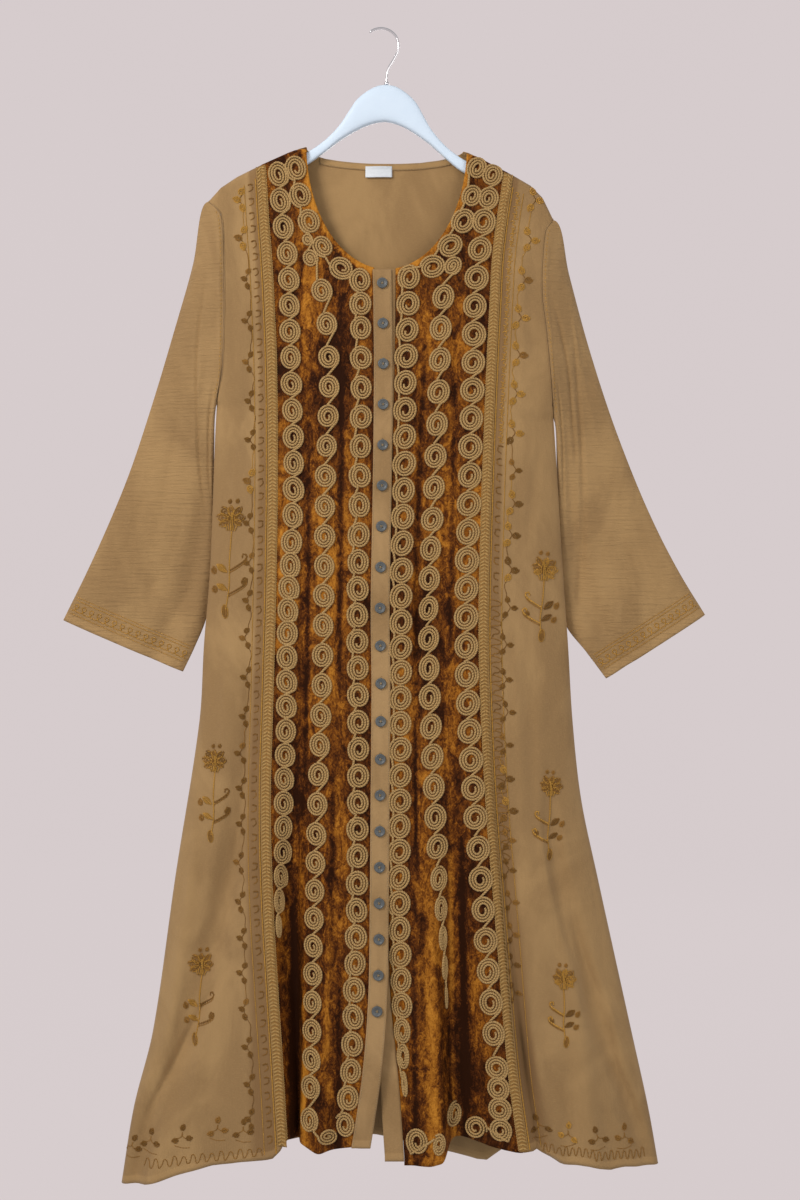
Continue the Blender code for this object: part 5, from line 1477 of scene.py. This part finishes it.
class KAFTAN_OT_buttons(bpy.types.Operator):
    """Add the twenty four-hole buttons and the thread that holds them"""
    bl_idname = "kaftan.buttons"
    bl_label = "Buttons"

    def execute(self, context):
        band = [SHELLS["placket_outer"]]
        threads = Strands()
        # How a thread rises over the middle of a button, from hole to hole
        bridge = ((0.0, 0.6), (0.05, 1.6), (0.25, 2.15), (0.5, 2.35), (0.75, 2.15), (0.95, 1.6), (1.0, 0.6))
        holes = ((-1.25, -1.25, 1.25, 1.25), (-1.25, 1.25, 1.25, -1.25))
        for number, (x, drop) in enumerate(button_middles()):
            place, _ = hit(band, x, drop)
            up, low = hit(band, x, drop - 8)[0], hit(band, x, drop + 8)[0]
            left, right = hit(band, x - 7, drop)[0], hit(band, x + 7, drop)[0]
            normal = np.cross(up - low, right - left)
            normal /= np.linalg.norm(normal)
            if normal[1] > 0:
                normal = -normal
            name = f"button_{number + 1:02d}"
            turn = 0.35 * math.sin(5.1 * number)
            frame_x = Vector((math.cos(turn), 0.0, math.sin(turn)))
            n = Vector(normal)
            frame_x = (frame_x - n * frame_x.dot(n)).normalized()
            frame_z = n.cross(frame_x)
            middle = Vector(place) + n * (0.25 * MM)
            piece = self.disc(name + "_looks", middle, frame_x, frame_z, n)
            keep(piece, "button", name)
            for u0, v0, u1, v1 in holes:
                for off in (-0.22, 0.22):
                    path = []
                    for t, rise in bridge:
                        u, v = u0 + (u1 - u0) * t + off, v0 + (v1 - v0) * t - off * (1 if v1 > v0 else -1)
                        path.append(middle + frame_x * (u * MM) + frame_z * (v * MM) + n * (rise * MM))
                    threads.tube(path, [n] * len(path), 0.26, 0.26, 6)
        keep(threads.make("button_threads", paint("sewing")), "button")
        return {"FINISHED"}

    def disc(self, name, middle, right, up, n):
        """A turned button: a raised rim round a dished middle with four holes through it."""
        sides, top, hole, floor = 40, 1.6, 0.62, 0.35
        profile = ((5.9, 0.0), (6.75, 0.5), (7.0, 1.3), (6.8, 2.2), (6.2, 2.62), (5.4, 2.6), (4.7, 2.15),
                   (4.2, 1.8), (3.2, 1.62))
        points = []
        for r, rise in profile:
            for s in range(sides):
                t = 2 * math.pi * (s + 0.5) / sides
                points.append((r * math.cos(t), r * math.sin(t), rise))
        faces = [*ring_faces(len(profile), sides), tuple(range(sides - 1, -1, -1))]
        # The dished middle, a quarter at a time round its hole, and the wall of the hole
        ring = (len(profile) - 1) * sides
        centre = len(points)
        points.append((0.0, 0.0, top))
        axes = []
        for q in range(4):
            t = math.pi / 2 * q
            axes.append(len(points))
            points.append((1.6 * math.cos(t), 1.6 * math.sin(t), top))
        quarter = sides // 4
        for q in range(4):
            loop = [centre, axes[q], *range(ring + q * quarter, ring + (q + 1) * quarter), axes[(q + 1) % 4]]
            t = math.pi / 2 * q + math.pi / 4
            hx, hy = 1.77 * math.cos(t), 1.77 * math.sin(t)
            size = len(loop)
            rim = list(range(len(points), len(points) + size))
            deep = list(range(rim[-1] + 1, rim[-1] + 1 + size))
            for i in loop:
                away = math.atan2(points[i][1] - hy, points[i][0] - hx)
                points.append((hx + hole * math.cos(away), hy + hole * math.sin(away), top))
            points += [(*points[i][:2], floor) for i in rim]
            for j in range(size):
                k = (j + 1) % size
                faces.append((loop[j], loop[k], rim[k], rim[j]))
                faces.append((rim[j], rim[k], deep[k], deep[j]))
            faces.append(tuple(deep))
        # The strips from each axis point out to the ring, which join two quarters
        for q in range(4):
            faces.append((axes[q], ring + (q * quarter - 1) % sides, ring + q * quarter))
        placed = [middle + right * (x * MM) + up * (y * MM) + n * (h * MM) for x, y, h in points]
        uvs = [(points[i][0] * MM, points[i][1] * MM) for face in faces for i in face]
        made = to_object(name, placed, faces, paint("button"), uvs)
        clean_normals(made)
        return made


class KAFTAN_OT_hanger(bpy.types.Operator):
    """Add the painted wooden hanger and its hook"""
    bl_idname = "kaftan.hanger"
    bl_label = "Hanger"

    def execute(self, context):
        tilt = math.radians(HANGER_TILT)
        u = np.concatenate([np.linspace(-201, -190, 8), np.linspace(-190, 190, 150)[1:-1],
                            np.linspace(190, 201, 8)])
        sides = 20
        points = []
        for out in u:
            top, low = (float(curve(WOOD, key, abs(out), "out")) for key in ("top", "low"))
            half = float(curve(WOOD, "half", abs(out), "out"))
            for s in range(sides):
                t = 2 * math.pi * s / sides
                c, d = math.cos(t), math.sin(t)
                y = half * math.copysign(abs(c) ** 0.55, c)
                v = 0.5 * (top + low) + 0.5 * (low - top) * math.copysign(abs(d) ** 0.7, d)
                x = HANGER_X + out * math.cos(tilt) - v * math.sin(tilt)
                drop = HANGER_DROP + v * math.cos(tilt) + out * math.sin(tilt)
                points.append((x * MM, y * MM, -drop * MM))
        ends = (tuple(range(sides)), tuple(range(len(points) - 1, len(points) - sides - 1, -1)))
        faces = [*ring_faces(len(u), sides), *ends]
        uvs = [(0.0, 0.0)] * sum(map(len, faces))
        wood = to_object("hanger_body_looks", points, faces, paint("wood"), uvs)
        clean_normals(wood)
        keep(wood, "painted wood", "hanger_body")

        path = []
        for degrees in range(130, -26, -4):
            turn = math.radians(degrees)
            drop = HOOK_RADIUS - WIRE_RADIUS - HOOK_RADIUS * math.sin(turn)
            path.append((HOOK_RADIUS * math.cos(turn), drop))
        foot = (HANGER_X, HANGER_DROP - 2 * SEAM)
        low = along([path[-1], (15.5, 41.0), (10.5, 49.0), (8.2, 57.0), foot], 2.0)
        path = np.array([*path[:-1], *low])
        strands = Strands()
        places = np.stack([path[:, 0], 0 * path[:, 0], -path[:, 1]], axis=1) * MM
        size = WIRE_RADIUS * np.ones(len(places))
        size[0] *= 0.6
        strands.tube(places, np.tile((0.0, -1.0, 0.0), (len(places), 1)), size, size, 20)
        ferrule = np.array([(HANGER_X * MM, 0.0, -d * MM) for d in (68.6, 69.0, 70.2, 71.4, 71.7)])
        wide = np.array([2.4, 3.3, 3.6, 3.6, 3.5])
        strands.tube(ferrule, np.tile((0.0, -1.0, 0.0), (5, 1)), wide, wide, 24)
        keep(strands.make("hanger_hook_looks", paint("chrome")), "hook", "hanger_hook")
        return {"FINISHED"}


class KAFTAN_OT_neck(bpy.types.Operator):
    """Add the binding inside the back neck, its stitches and the blank label"""
    bl_idname = "kaftan.neck"
    bl_label = "Neck"

    def execute(self, context):
        back = [SHELLS["back"]]
        x = np.linspace(-80, 94, 90)
        share = (x - NECK_X) / NECK_HALF_WIDTH
        top = NECK_DROP + NECK_BACK_DEPTH * np.sqrt(np.maximum(1 - share ** 2, 0)) + 0.5
        rows = []
        for share, rise in ((0.0, 0.9), (0.06, 2.1), (0.3, 2.3), (0.7, 2.3), (0.94, 2.1), (1.0, 1.2)):
            row = []
            for at, drop in zip(x, top + BINDING_WIDTH * share):
                found = hit(back, at, drop, 0.0)
                y = found[0][1] / MM if found is not None else 10.0
                row.append((at, y - rise, drop))
            rows.append(row)
        shell = Shell(np.array(rows), flip=True)
        binding = cloth_piece("neck_binding", shell, "rayon", 0.8)
        strands = Strands(shell)
        for share in (0.14, 0.86):
            for k in range(0, 88, 2):
                at = [(x[k + j], top[k + j] + BINDING_WIDTH * share) for j in (0, 1)]
                strands.lay(at, 0.32, 0.25, 6, lift=0.05, start=0.0)
        keep(strands.make("neck_stitches", paint("sewing")), "rayon")

        rows = []
        for drop in np.linspace(175.6, 190.2, 12):
            row = []
            for at in np.linspace(-20.4, 14.4, 18):
                found = hit(back, at, drop, 0.0)
                curl = 0.9 * smoothstep(184, 190.5, drop) + 0.35 * math.cos(0.13 * (at + 3))
                row.append((at, found[0][1] / MM - 2.95 - curl, drop))
            rows.append(row)
        tag = cloth_piece("neck_label", Shell(np.array(rows), flip=True), "label", 0.45, "label")
        return {"FINISHED"}


class KAFTAN_OT_braids(bpy.types.Operator):
    """Add the gold braid over both front seams"""
    bl_idname = "kaftan.braids"
    bl_label = "Braids"

    def execute(self, context):
        chevron = ((0.2, 0.0), (2.8, 1.7), (5.3, 3.2))
        section = ((-5.8, 0.3), (-5.6, 1.0), (-3.4, 1.25), (0.0, 1.3), (3.4, 1.25), (5.6, 1.0), (5.8, 0.3))
        for side, word in SIDES:
            row = "braid_" + LETTER[side]
            fronts = [SHELLS["front_velvet_" + word], SHELLS["front_side_" + word]]
            top = top_drop(front_line(row)) + 3.5
            low = hem_drop(front_line(row), FRONT_HEM) - 1.5

            def slope_at(x, drop, top=top):
                rise = shoulder(x + 5.8) - shoulder(x - 5.8)
                return float((1 - smoothstep(RIDGE_ROUND, 60, drop - top)) * rise / 11.6)

            rows = []
            for drop in np.linspace(top, low, 400):
                x = line_x(row, drop)
                slope = slope_at(x, drop)
                points = []
                for across, rise in section:
                    found = hit(fronts, x + across, drop + slope * across)
                    y = found[0][1] / MM if found is not None else points[-1][1]
                    points.append((x + across, y - rise, drop + slope * across))
                rows.append(points)
            grid = np.array(rows)
            soften(grid[:, :, 1], 4)
            shell = Shell(grid, flip=True)
            base = cloth_piece("braid_" + word, shell, "braid_base", 0.8, "braid")
            weave = Strands(shell)
            drop = top + 2.0
            while drop < low - 3.5:
                x = line_x(row, drop)
                slope = slope_at(x, drop)
                for way in (-1, 1):
                    arm = [(x + way * u, drop + slope * way * u + fall) for u, fall in chevron]
                    weave.lay(arm, (0.95, 1.35, 0.8), 0.9, 5, lift=0.25)
                drop += 4.6 + 0.5 * math.sin(0.37 * drop)
            weave.shells = fronts
            edge = np.arange(top + 1, low - 1, 1.0)
            for shift, size in ((-side * 6.0, 0.55), (side * 5.9, 0.3)):
                path = [(line_x(row, d) + shift + size * math.sin(2.1 * d), d) for d in edge]
                weave.lay(path, 0.5, 0.7, 5, lift=0.75)
            keep(weave.make(f"braid_{word}_weave", paint("weave")), "braid")
        return {"FINISHED"}


def turned(place, lean, points):
    """Points of a small motif, moved to a place and leaned by degrees."""
    c, s = math.cos(math.radians(lean)), math.sin(math.radians(lean))
    return [(place[0] + x * c - d * s, place[1] + x * s + d * c) for x, d in points]


def curled_leaf(strands, place, lean, length, width):
    """A round leaf filled with one thread that winds inwards."""
    points = []
    turns, steps = 2.3, 29
    for k in range(steps + 1):
        t = k / steps
        size, turn = 1 - 0.86 * t, 2 * math.pi * turns * t
        points.append((0.5 * width * size * math.sin(turn), -0.5 * length * size * math.cos(turn)))
    strands.lay(turned(place, lean, points), 0.85, 0.65, 5, beads=0.28)


def flower_head(threads, petals, place, lean, size, side):
    """A dense flower of curled petals over a darker heart, with a bright line up its middle."""
    gold, bronze = threads["gold"], threads["bronze"]
    light = threads["gold" if petals == "gold" else "amber"]
    dark = threads["bronze" if petals == "bronze" else "amber"]
    for fan, out, length, width, strands in (
            (-122, 10.5, 16, 10, light), (-84, 12, 17, 12, light), (-46, 12.5, 17, 12, dark),
            (-10, 11, 14, 9, light), (34, 13, 16, 9, dark), (74, 10.5, 15, 12, dark),
            (112, 9, 12, 9, light)):
        spot = turned(place, lean - side * fan, [(0, -out * size)])[0]
        curled_leaf(strands, spot, lean - side * fan, length * size, width * size)
        rim = [(0.42 * width * size * math.sin(t), -0.42 * length * size * math.cos(t))
               for t in np.linspace(0.4, 5.9, 14)]
        gold.lay(turned(spot, lean - side * fan, rim), 0.42, 0.4, 5, lift=1.0, beads=0.5)
        inner = turned(place, lean - side * (fan + 16), [(0, -0.5 * out * size)])[0]
        curled_leaf(bronze, inner, lean - side * fan, 8 * size, 4.6 * size)
    for x, d in ((-4, -23), (6, -24)):
        curled_leaf(dark, turned(place, lean, [(-side * x * size, d * size)])[0], lean, 6 * size, 5 * size)
    for x in (-0.6, 1.6):
        line = [(x * size, 14 * size), (x * size, 4 * size), (0.5 * x * size, -9 * size)]
        gold.lay(along(turned(place, lean, line), 1.6), 0.7, 0.6, 6, lift=1.1, beads=0.35)
    for fan in (-40, -20, 0, 20, 40):
        line = turned(place, lean, [(0.12 * fan * size, 15 * size), (0.2 * fan * size, 7 * size)])
        gold.lay(along(line, 1.6), 0.6, 0.6, 6, lift=0.9)


def filled_leaf(strands, place, lean, length, width):
    """A pointed leaf filled with short slanting stitches that meet on its middle line."""
    count = max(int(length / 1.7), 4)
    for k in range(count):
        t = (k + 0.5) / count
        half = 0.5 * width * math.sin(math.pi * t ** 0.8) + 0.35
        up = (0.5 - t) * length
        for way in (-1, 1):
            stitch = [(0, -up - 0.9), (way * 0.55 * half, -up + 0.1), (way * half, -up + 1.0)]
            strands.lay(turned(place, lean, stitch), 0.72, 0.6, 5)


def sprig(threads, one, side):
    """One tall flower with its stem, side leaves and foot."""
    gold, amber, bronze = threads["gold"], threads["amber"], threads["bronze"]
    outer, inner = (gold, bronze) if side < 0 else (bronze, gold)
    head, foot, size = (one.x, one.drop), (one.foot_x, one.foot_drop), one.size
    tall = foot[1] - head[1]
    lean = math.degrees(math.atan2(head[0] - foot[0], tall))
    path = along([(head[0], head[1] + 15 * size), (0.62 * head[0] + 0.38 * foot[0], head[1] + 0.45 * tall),
                  (0.3 * head[0] + 0.7 * foot[0] - side * 2, head[1] + 0.74 * tall), foot], 1.7)
    gold.lay(path, 0.8, 0.7, 6, lift=0.35, beads=0.4)
    flower_head(threads, one.petals, head, lean, size, side)

    def beside(share, out, up):
        at = path[int(share * (len(path) - 1))]
        return at[0] + side * out * size, at[1] - up * size

    filled_leaf(outer, beside(0.50, 10, 3), side * 52, 17 * size, 8.5 * size)
    filled_leaf(outer, beside(0.76, 9, 4), side * 60, 16 * size, 7.5 * size)
    curled_leaf(amber, beside(0.52, 21, 2), side * 20, 11 * size, 8 * size)
    curled_leaf(amber, beside(0.76, 19, 1), side * 30, 10 * size, 8 * size)
    for share, length in ((0.50, 20), (0.80, 22)):
        curl = [path[int(share * (len(path) - 1))], beside(share, -0.45 * length, 5)]
        curl += [beside(share, -length + out, up) for out, up in ((0, 13), (-3, 19), (2, 21), (3, 16))]
        inner.lay(along(curl, 1.7), 1.0, 0.7, 6, beads=0.4)
        shadow = [(x, d + 3.0 * size) for x, d in curl[:4]]
        amber.lay(along(shadow, 1.7), 0.75, 0.55, 6, lift=0.25, beads=0.4)
    curled_leaf(bronze, beside(0.70, -19, 6), side * -30, 8 * size, 7 * size)
    filled_leaf(amber, (foot[0] + side * size, foot[1] + 2), side * 6, 17 * size, 7 * size)
    rim = [(4.2 * size * math.sin(t), 9 * size * math.cos(t)) for t in np.linspace(0, 6.1, 18)]
    gold.lay(turned((foot[0] + side * size, foot[1] + 2), side * 6, rim), 0.45, 0.4, 5, lift=0.5, beads=0.4)


def border(gold, amber, bronze, side):
    """The rows of stitching beside the braid from the shoulder down: chain, curls, chain and the vine."""
    row = "braid_" + LETTER[side]
    low = hem_drop(front_line(row, side * 25), FRONT_HEM) - 14
    curl = [(-2.6, -4.4), (0.6, -5.2), (2.6, -3.0), (-0.6, -0.6), (2.9, 1.6), (1.0, 4.9), (-2.6, 4.0)]

    def at(u, drop):
        return line_x(row, drop) + side * u, drop

    start = top_drop(front_line(row, side * 20)) + 10
    gold.lay([at(8.3, d) for d in np.arange(start, low + 8, 2.5)], 0.85, 0.7, 6, beads=0.32)
    gold.lay([at(23.5, d) for d in np.arange(start + 8, low + 8, 1.6)], 0.5, 0.45, 5, lift=0.2, beads=0.35)
    drop, k = start + 12, 0
    while drop < low - 4:
        spot = at(15.6, drop)
        if side > 0 and drop < 545:
            path = [(x * 1.05, d) for x, d in curl]
            gold.lay(along(turned(spot, 6 if k % 2 else -6, path), 1.3), 0.62, 0.5, 6, lift=0.25)
            wave = [(-x, 9 + 0.5 * d) for x, d in curl]
            gold.lay(along(turned(spot, -8, wave), 1.4), 0.6, 0.5, 5, lift=0.25)
            drop += 18.2 + 1.6 * math.sin(2.7 * k)
        elif side > 0 and drop > 1075:
            break
        elif side > 0 and drop > 730:
            reach = 5.6 + 1.2 * math.sin(3.1 * k)
            path = [(-reach, -6.0), (-0.2 * reach, -5.2), (reach, -1.5), (0.7 * reach, 2.0),
                    (-0.6 * reach, 2.6), (-reach, 6.0)]
            strands = amber if k % 4 else bronze
            strands.lay(along(turned(spot, 0, path), 1.5), 0.62, 0.5, 5, lift=0.25, beads=0.25)
            drop += 12.0 + 1.5 * math.sin(2.2 * k)
        else:
            tilt = 12 * math.sin(2.9 * k)
            dash = turned(spot, tilt, [(-3.2, -3.6), (-0.4, -4.6), (3.0, -4.0)])
            bronze.lay(along(dash, 1.2), 0.95, 0.6, 6, lift=0.25, beads=0.15)
            tail = [(side * x, d) for x, d in ((-2.4, -2.2), (-3.2, 0.6), (-1.2, 3.2), (2.2, 4.6))]
            strands = amber if k % 3 else bronze
            strands.lay(along(turned(spot, tilt, tail), 1.3), 0.7, 0.5, 5, lift=0.2, beads=0.3)
            drop += 18.2 + 1.6 * math.sin(2.7 * k)
        k += 1
    first = start + (16 if side > 0 else 27)
    vine({"g": gold, "a": amber, "b": bronze}, side, at, first, min(low - 18, VINES[side][-1].drop))


def vine(threads, side, at, start, end):
    """The clusters of three leaves beside the braid, with the thin curving stem that joins them."""
    tones = VINE_TONES[side].split()
    drop, k, last = start, 0, None
    while drop < end:
        out = float(straight(VINES[side], "out", drop, "drop")) + 1.5 * math.sin(1.9 * k)
        tone_row = tones[min(k, len(tones) - 1)]
        grow = 1.0 if "g" in tone_row else 0.74
        spread = (1.0 if side > 0 else 0.62) * (0.8 + 0.2 * grow)
        spot = at(out, drop)
        for tone, (x, d, tip) in zip(tone_row, ((-3.5, -11.0, -25), (6.5, 0.5, 80), (-4.0, 10.5, 205))):
            leaf_x = spot[0] + side * (spread * x + math.sin(2.3 * k + d))
            leaf = (leaf_x, spot[1] + (0.55 + 0.45 * grow) * d)
            curled_leaf(threads[tone], leaf, side * tip, 10.8 * grow + 0.6, 9.2 * grow)
        fork = [(spot[0] - side * 2, spot[1] - 6), (spot[0] + side * 1.5, spot[1]),
                (spot[0] - side * 2, spot[1] + 6)]
        threads["b"].lay(along(fork, 1.6), 0.5, 0.45, 5, lift=0.2)
        if last is not None:
            middle = 0.5 * (last[1] + drop)
            weave = [(last[0] - side * 4, last[1] + 12), at(out - 5 + 1.5 * math.sin(k), middle - 4),
                     at(out - 4, middle + 5), (spot[0] - side * 3, drop - 13)]
            threads[tone_row[0]].lay(along(weave, 1.7), 0.42, 0.4, 5, lift=0.2, beads=0.3)
        last = spot
        drop += float(straight(VINES[side], "pitch", drop, "drop")) + 2.5 * math.sin(1.3 * k + side)
        k += 1


def hem_work(threads, side):
    """The looped line and the clusters above the hem."""
    amber = threads["amber"]
    loop = ((-0.9, -1.0), (-0.55, 0.1), (-0.35, 0.95), (0.15, 1.0), (0.45, 0.2), (0.65, -0.95))
    ends = HEM_LINES[side]
    loops = int(abs(ends[-1].x - ends[0].x) / HEM_LOOP[side])
    wide = 0.5 * HEM_LOOP[side]
    points = []
    for k in range(loops):
        x = ends[0].x + (k + 0.5) / loops * (ends[-1].x - ends[0].x)
        drop = float(straight(ends, "drop", x, "x"))
        tall = 4.8 + 1.0 * math.sin(2.6 * k)
        for across, up in loop:
            points.append((x + across * wide, drop - up * tall))
    amber.lay(along(points, 1.3), 0.55, 0.5, 5, lift=0.25, beads=0.2)
    for one in HEM_CLUSTERS[side]:
        place = (one.x, one.drop)
        strands = threads[one.tone]
        for x, d, tip in ((-0.5, -10.5, 8), (9.2, 1.2, 62), (-8.2, 8.0, -118)):
            spot = turned(place, one.lean, [(-side * x, d)])[0]
            curled_leaf(strands, spot, one.lean - side * tip, 9.0, 7.0)
        stem = [(-side * x, d) for x, d in ((-6, 5), (-1, 1.5), (0, -5), (0.5, 0.5), (5, 3))]
        amber.lay(along(turned(place, one.lean, stem), 1.6), 0.55, 0.45, 5, lift=0.2)
        foot = turned(place, 0, [(-side * x, d) for x, d in ((-10, 13), (0, 15.5), (10, 14.5))])
        amber.lay(along(foot, 1.6), 0.4, 0.35, 5, lift=0.2, beads=0.2)


def cuff_work(gold, side, shell):
    """The looped line round the cuff and the long lines above it, front and back."""
    grid = shell.grid
    columns = grid.shape[1] // 2
    above = shell.above_hem()
    for half in (0, 1):
        start, way = (-200.0, 1.0) if half == 0 else (200.0, -1.0)
        order = np.arange(2, columns - 2) if half == 0 else np.arange(columns + 2, 2 * columns - 2)
        width = np.concatenate([[0], np.cumsum(np.linalg.norm(np.diff(grid[-3, order], axis=0), axis=1))])

        def at(across, up):
            c = np.interp(across, width, np.arange(len(order)))
            low, share = int(c), c - int(c)
            high = min(low + 1, len(order) - 1)
            result = []
            for column in (order[low], order[high]):
                rows = above[::-1, column]
                result.append([np.interp(up, rows, grid[::-1, column, axis]) for axis in (0, 2)])
            return tuple((1 - share) * np.array(result[0]) + share * np.array(result[1]))

        count = int(width[-1] / 10.5)
        loop = [(-5.6, -3.0), (-1.8, -3.4), (0.0, -0.6), (-2.8, 3.0), (-0.8, 5.8), (1.8, 5.6), (3.2, 2.6),
                (0.4, -0.8), (2.4, -3.4), (5.6, -3.0)]
        for k in range(count):
            middle = (k + 0.5) / count * width[-1]
            points = along([(middle + x * 0.95, 20.5 + d) for x, d in loop], 1.3)
            gold.lay([at(float(np.clip(x, 0.5, width[-1] - 0.5)), d) for x, d in points], 0.55, 0.5, 5,
                     lift=0.25, start=start, way=way)
        for up, size in ((12.5, 0.35), (31.0, 0.45), (35.0, 0.35)):
            line = [at(a, up) for a in np.arange(1.0, width[-1] - 1.0, 1.8)]
            gold.lay(line, size, 0.4, 5, lift=0.2, beads=0.3, start=start, way=way)


class KAFTAN_OT_embroidery(bpy.types.Operator):
    """Add the gold and bronze embroidery of the side panels and the cuffs"""
    bl_idname = "kaftan.embroidery"
    bl_label = "Embroidery"

    def execute(self, context):
        for side, word in SIDES:
            shell = SHELLS["front_side_" + word]
            sleeve = SHELLS["sleeve_" + word]
            threads = {tone: Strands(shell) for tone in ("gold", "amber", "bronze")}
            border(*threads.values(), side)
            hem_work(threads, side)
            for one in SPRIGS[side]:
                sprig(threads, one, side)
            for tone, strands in threads.items():
                keep(strands.make(f"embroidery_{word}_{tone}", paint(tone)), "braid")
            cuff = Strands(sleeve)
            cuff_work(cuff, side, sleeve)
            seam = np.arange(shoulder_tip(side) + 14, UNDERARM[side] - 8, 5.2)
            for drop in seam:
                x = float(edge_x(side, drop)) + side * 3.6
                cuff.lay([(x, drop), (x + side * 0.6, drop + 2.4)], 0.45, 0.35, 5, lift=0.1)
            keep(cuff.make(f"embroidery_{word}_cuff", paint("gold")), "braid")
        return {"FINISHED"}


GROUPS = {"kaftan_cloth": KaftanCloth, "kaftan_thread": KaftanThread, "kaftan_stage": KaftanStage}
STEPS = [KAFTAN_OT_stage, KAFTAN_OT_panels, KAFTAN_OT_sleeves, KAFTAN_OT_coils, KAFTAN_OT_braids,
         KAFTAN_OT_placket, KAFTAN_OT_buttons, KAFTAN_OT_neck, KAFTAN_OT_embroidery, KAFTAN_OT_hanger]


class KAFTAN_PT_panel(bpy.types.Panel):
    """The steps and sizes of the kaftan"""
    bl_label = "Kaftan"
    bl_idname = "KAFTAN_PT_panel"
    bl_space_type = "VIEW_3D"
    bl_region_type = "UI"
    bl_category = "Kaftan"

    def draw(self, context):
        for name in GROUPS:
            group = getattr(context.scene, name)
            for key in group.__annotations__:
                self.layout.prop(group, key)
        for kind in STEPS:
            self.layout.operator(kind.bl_idname)


CLASSES = [*GROUPS.values(), *STEPS, KAFTAN_PT_panel]


def register():
    for kind in CLASSES:
        bpy.utils.register_class(kind)
    for name, kind in GROUPS.items():
        setattr(bpy.types.Scene, name, PointerProperty(type=kind))


def unregister():
    for name in GROUPS:
        delattr(bpy.types.Scene, name)
    for kind in reversed(CLASSES):
        bpy.utils.unregister_class(kind)


def main():
    register()
    for step in STEPS:
        getattr(bpy.ops.kaftan, step.bl_idname.split(".")[1])()


if __name__ == "__main__":
    main()
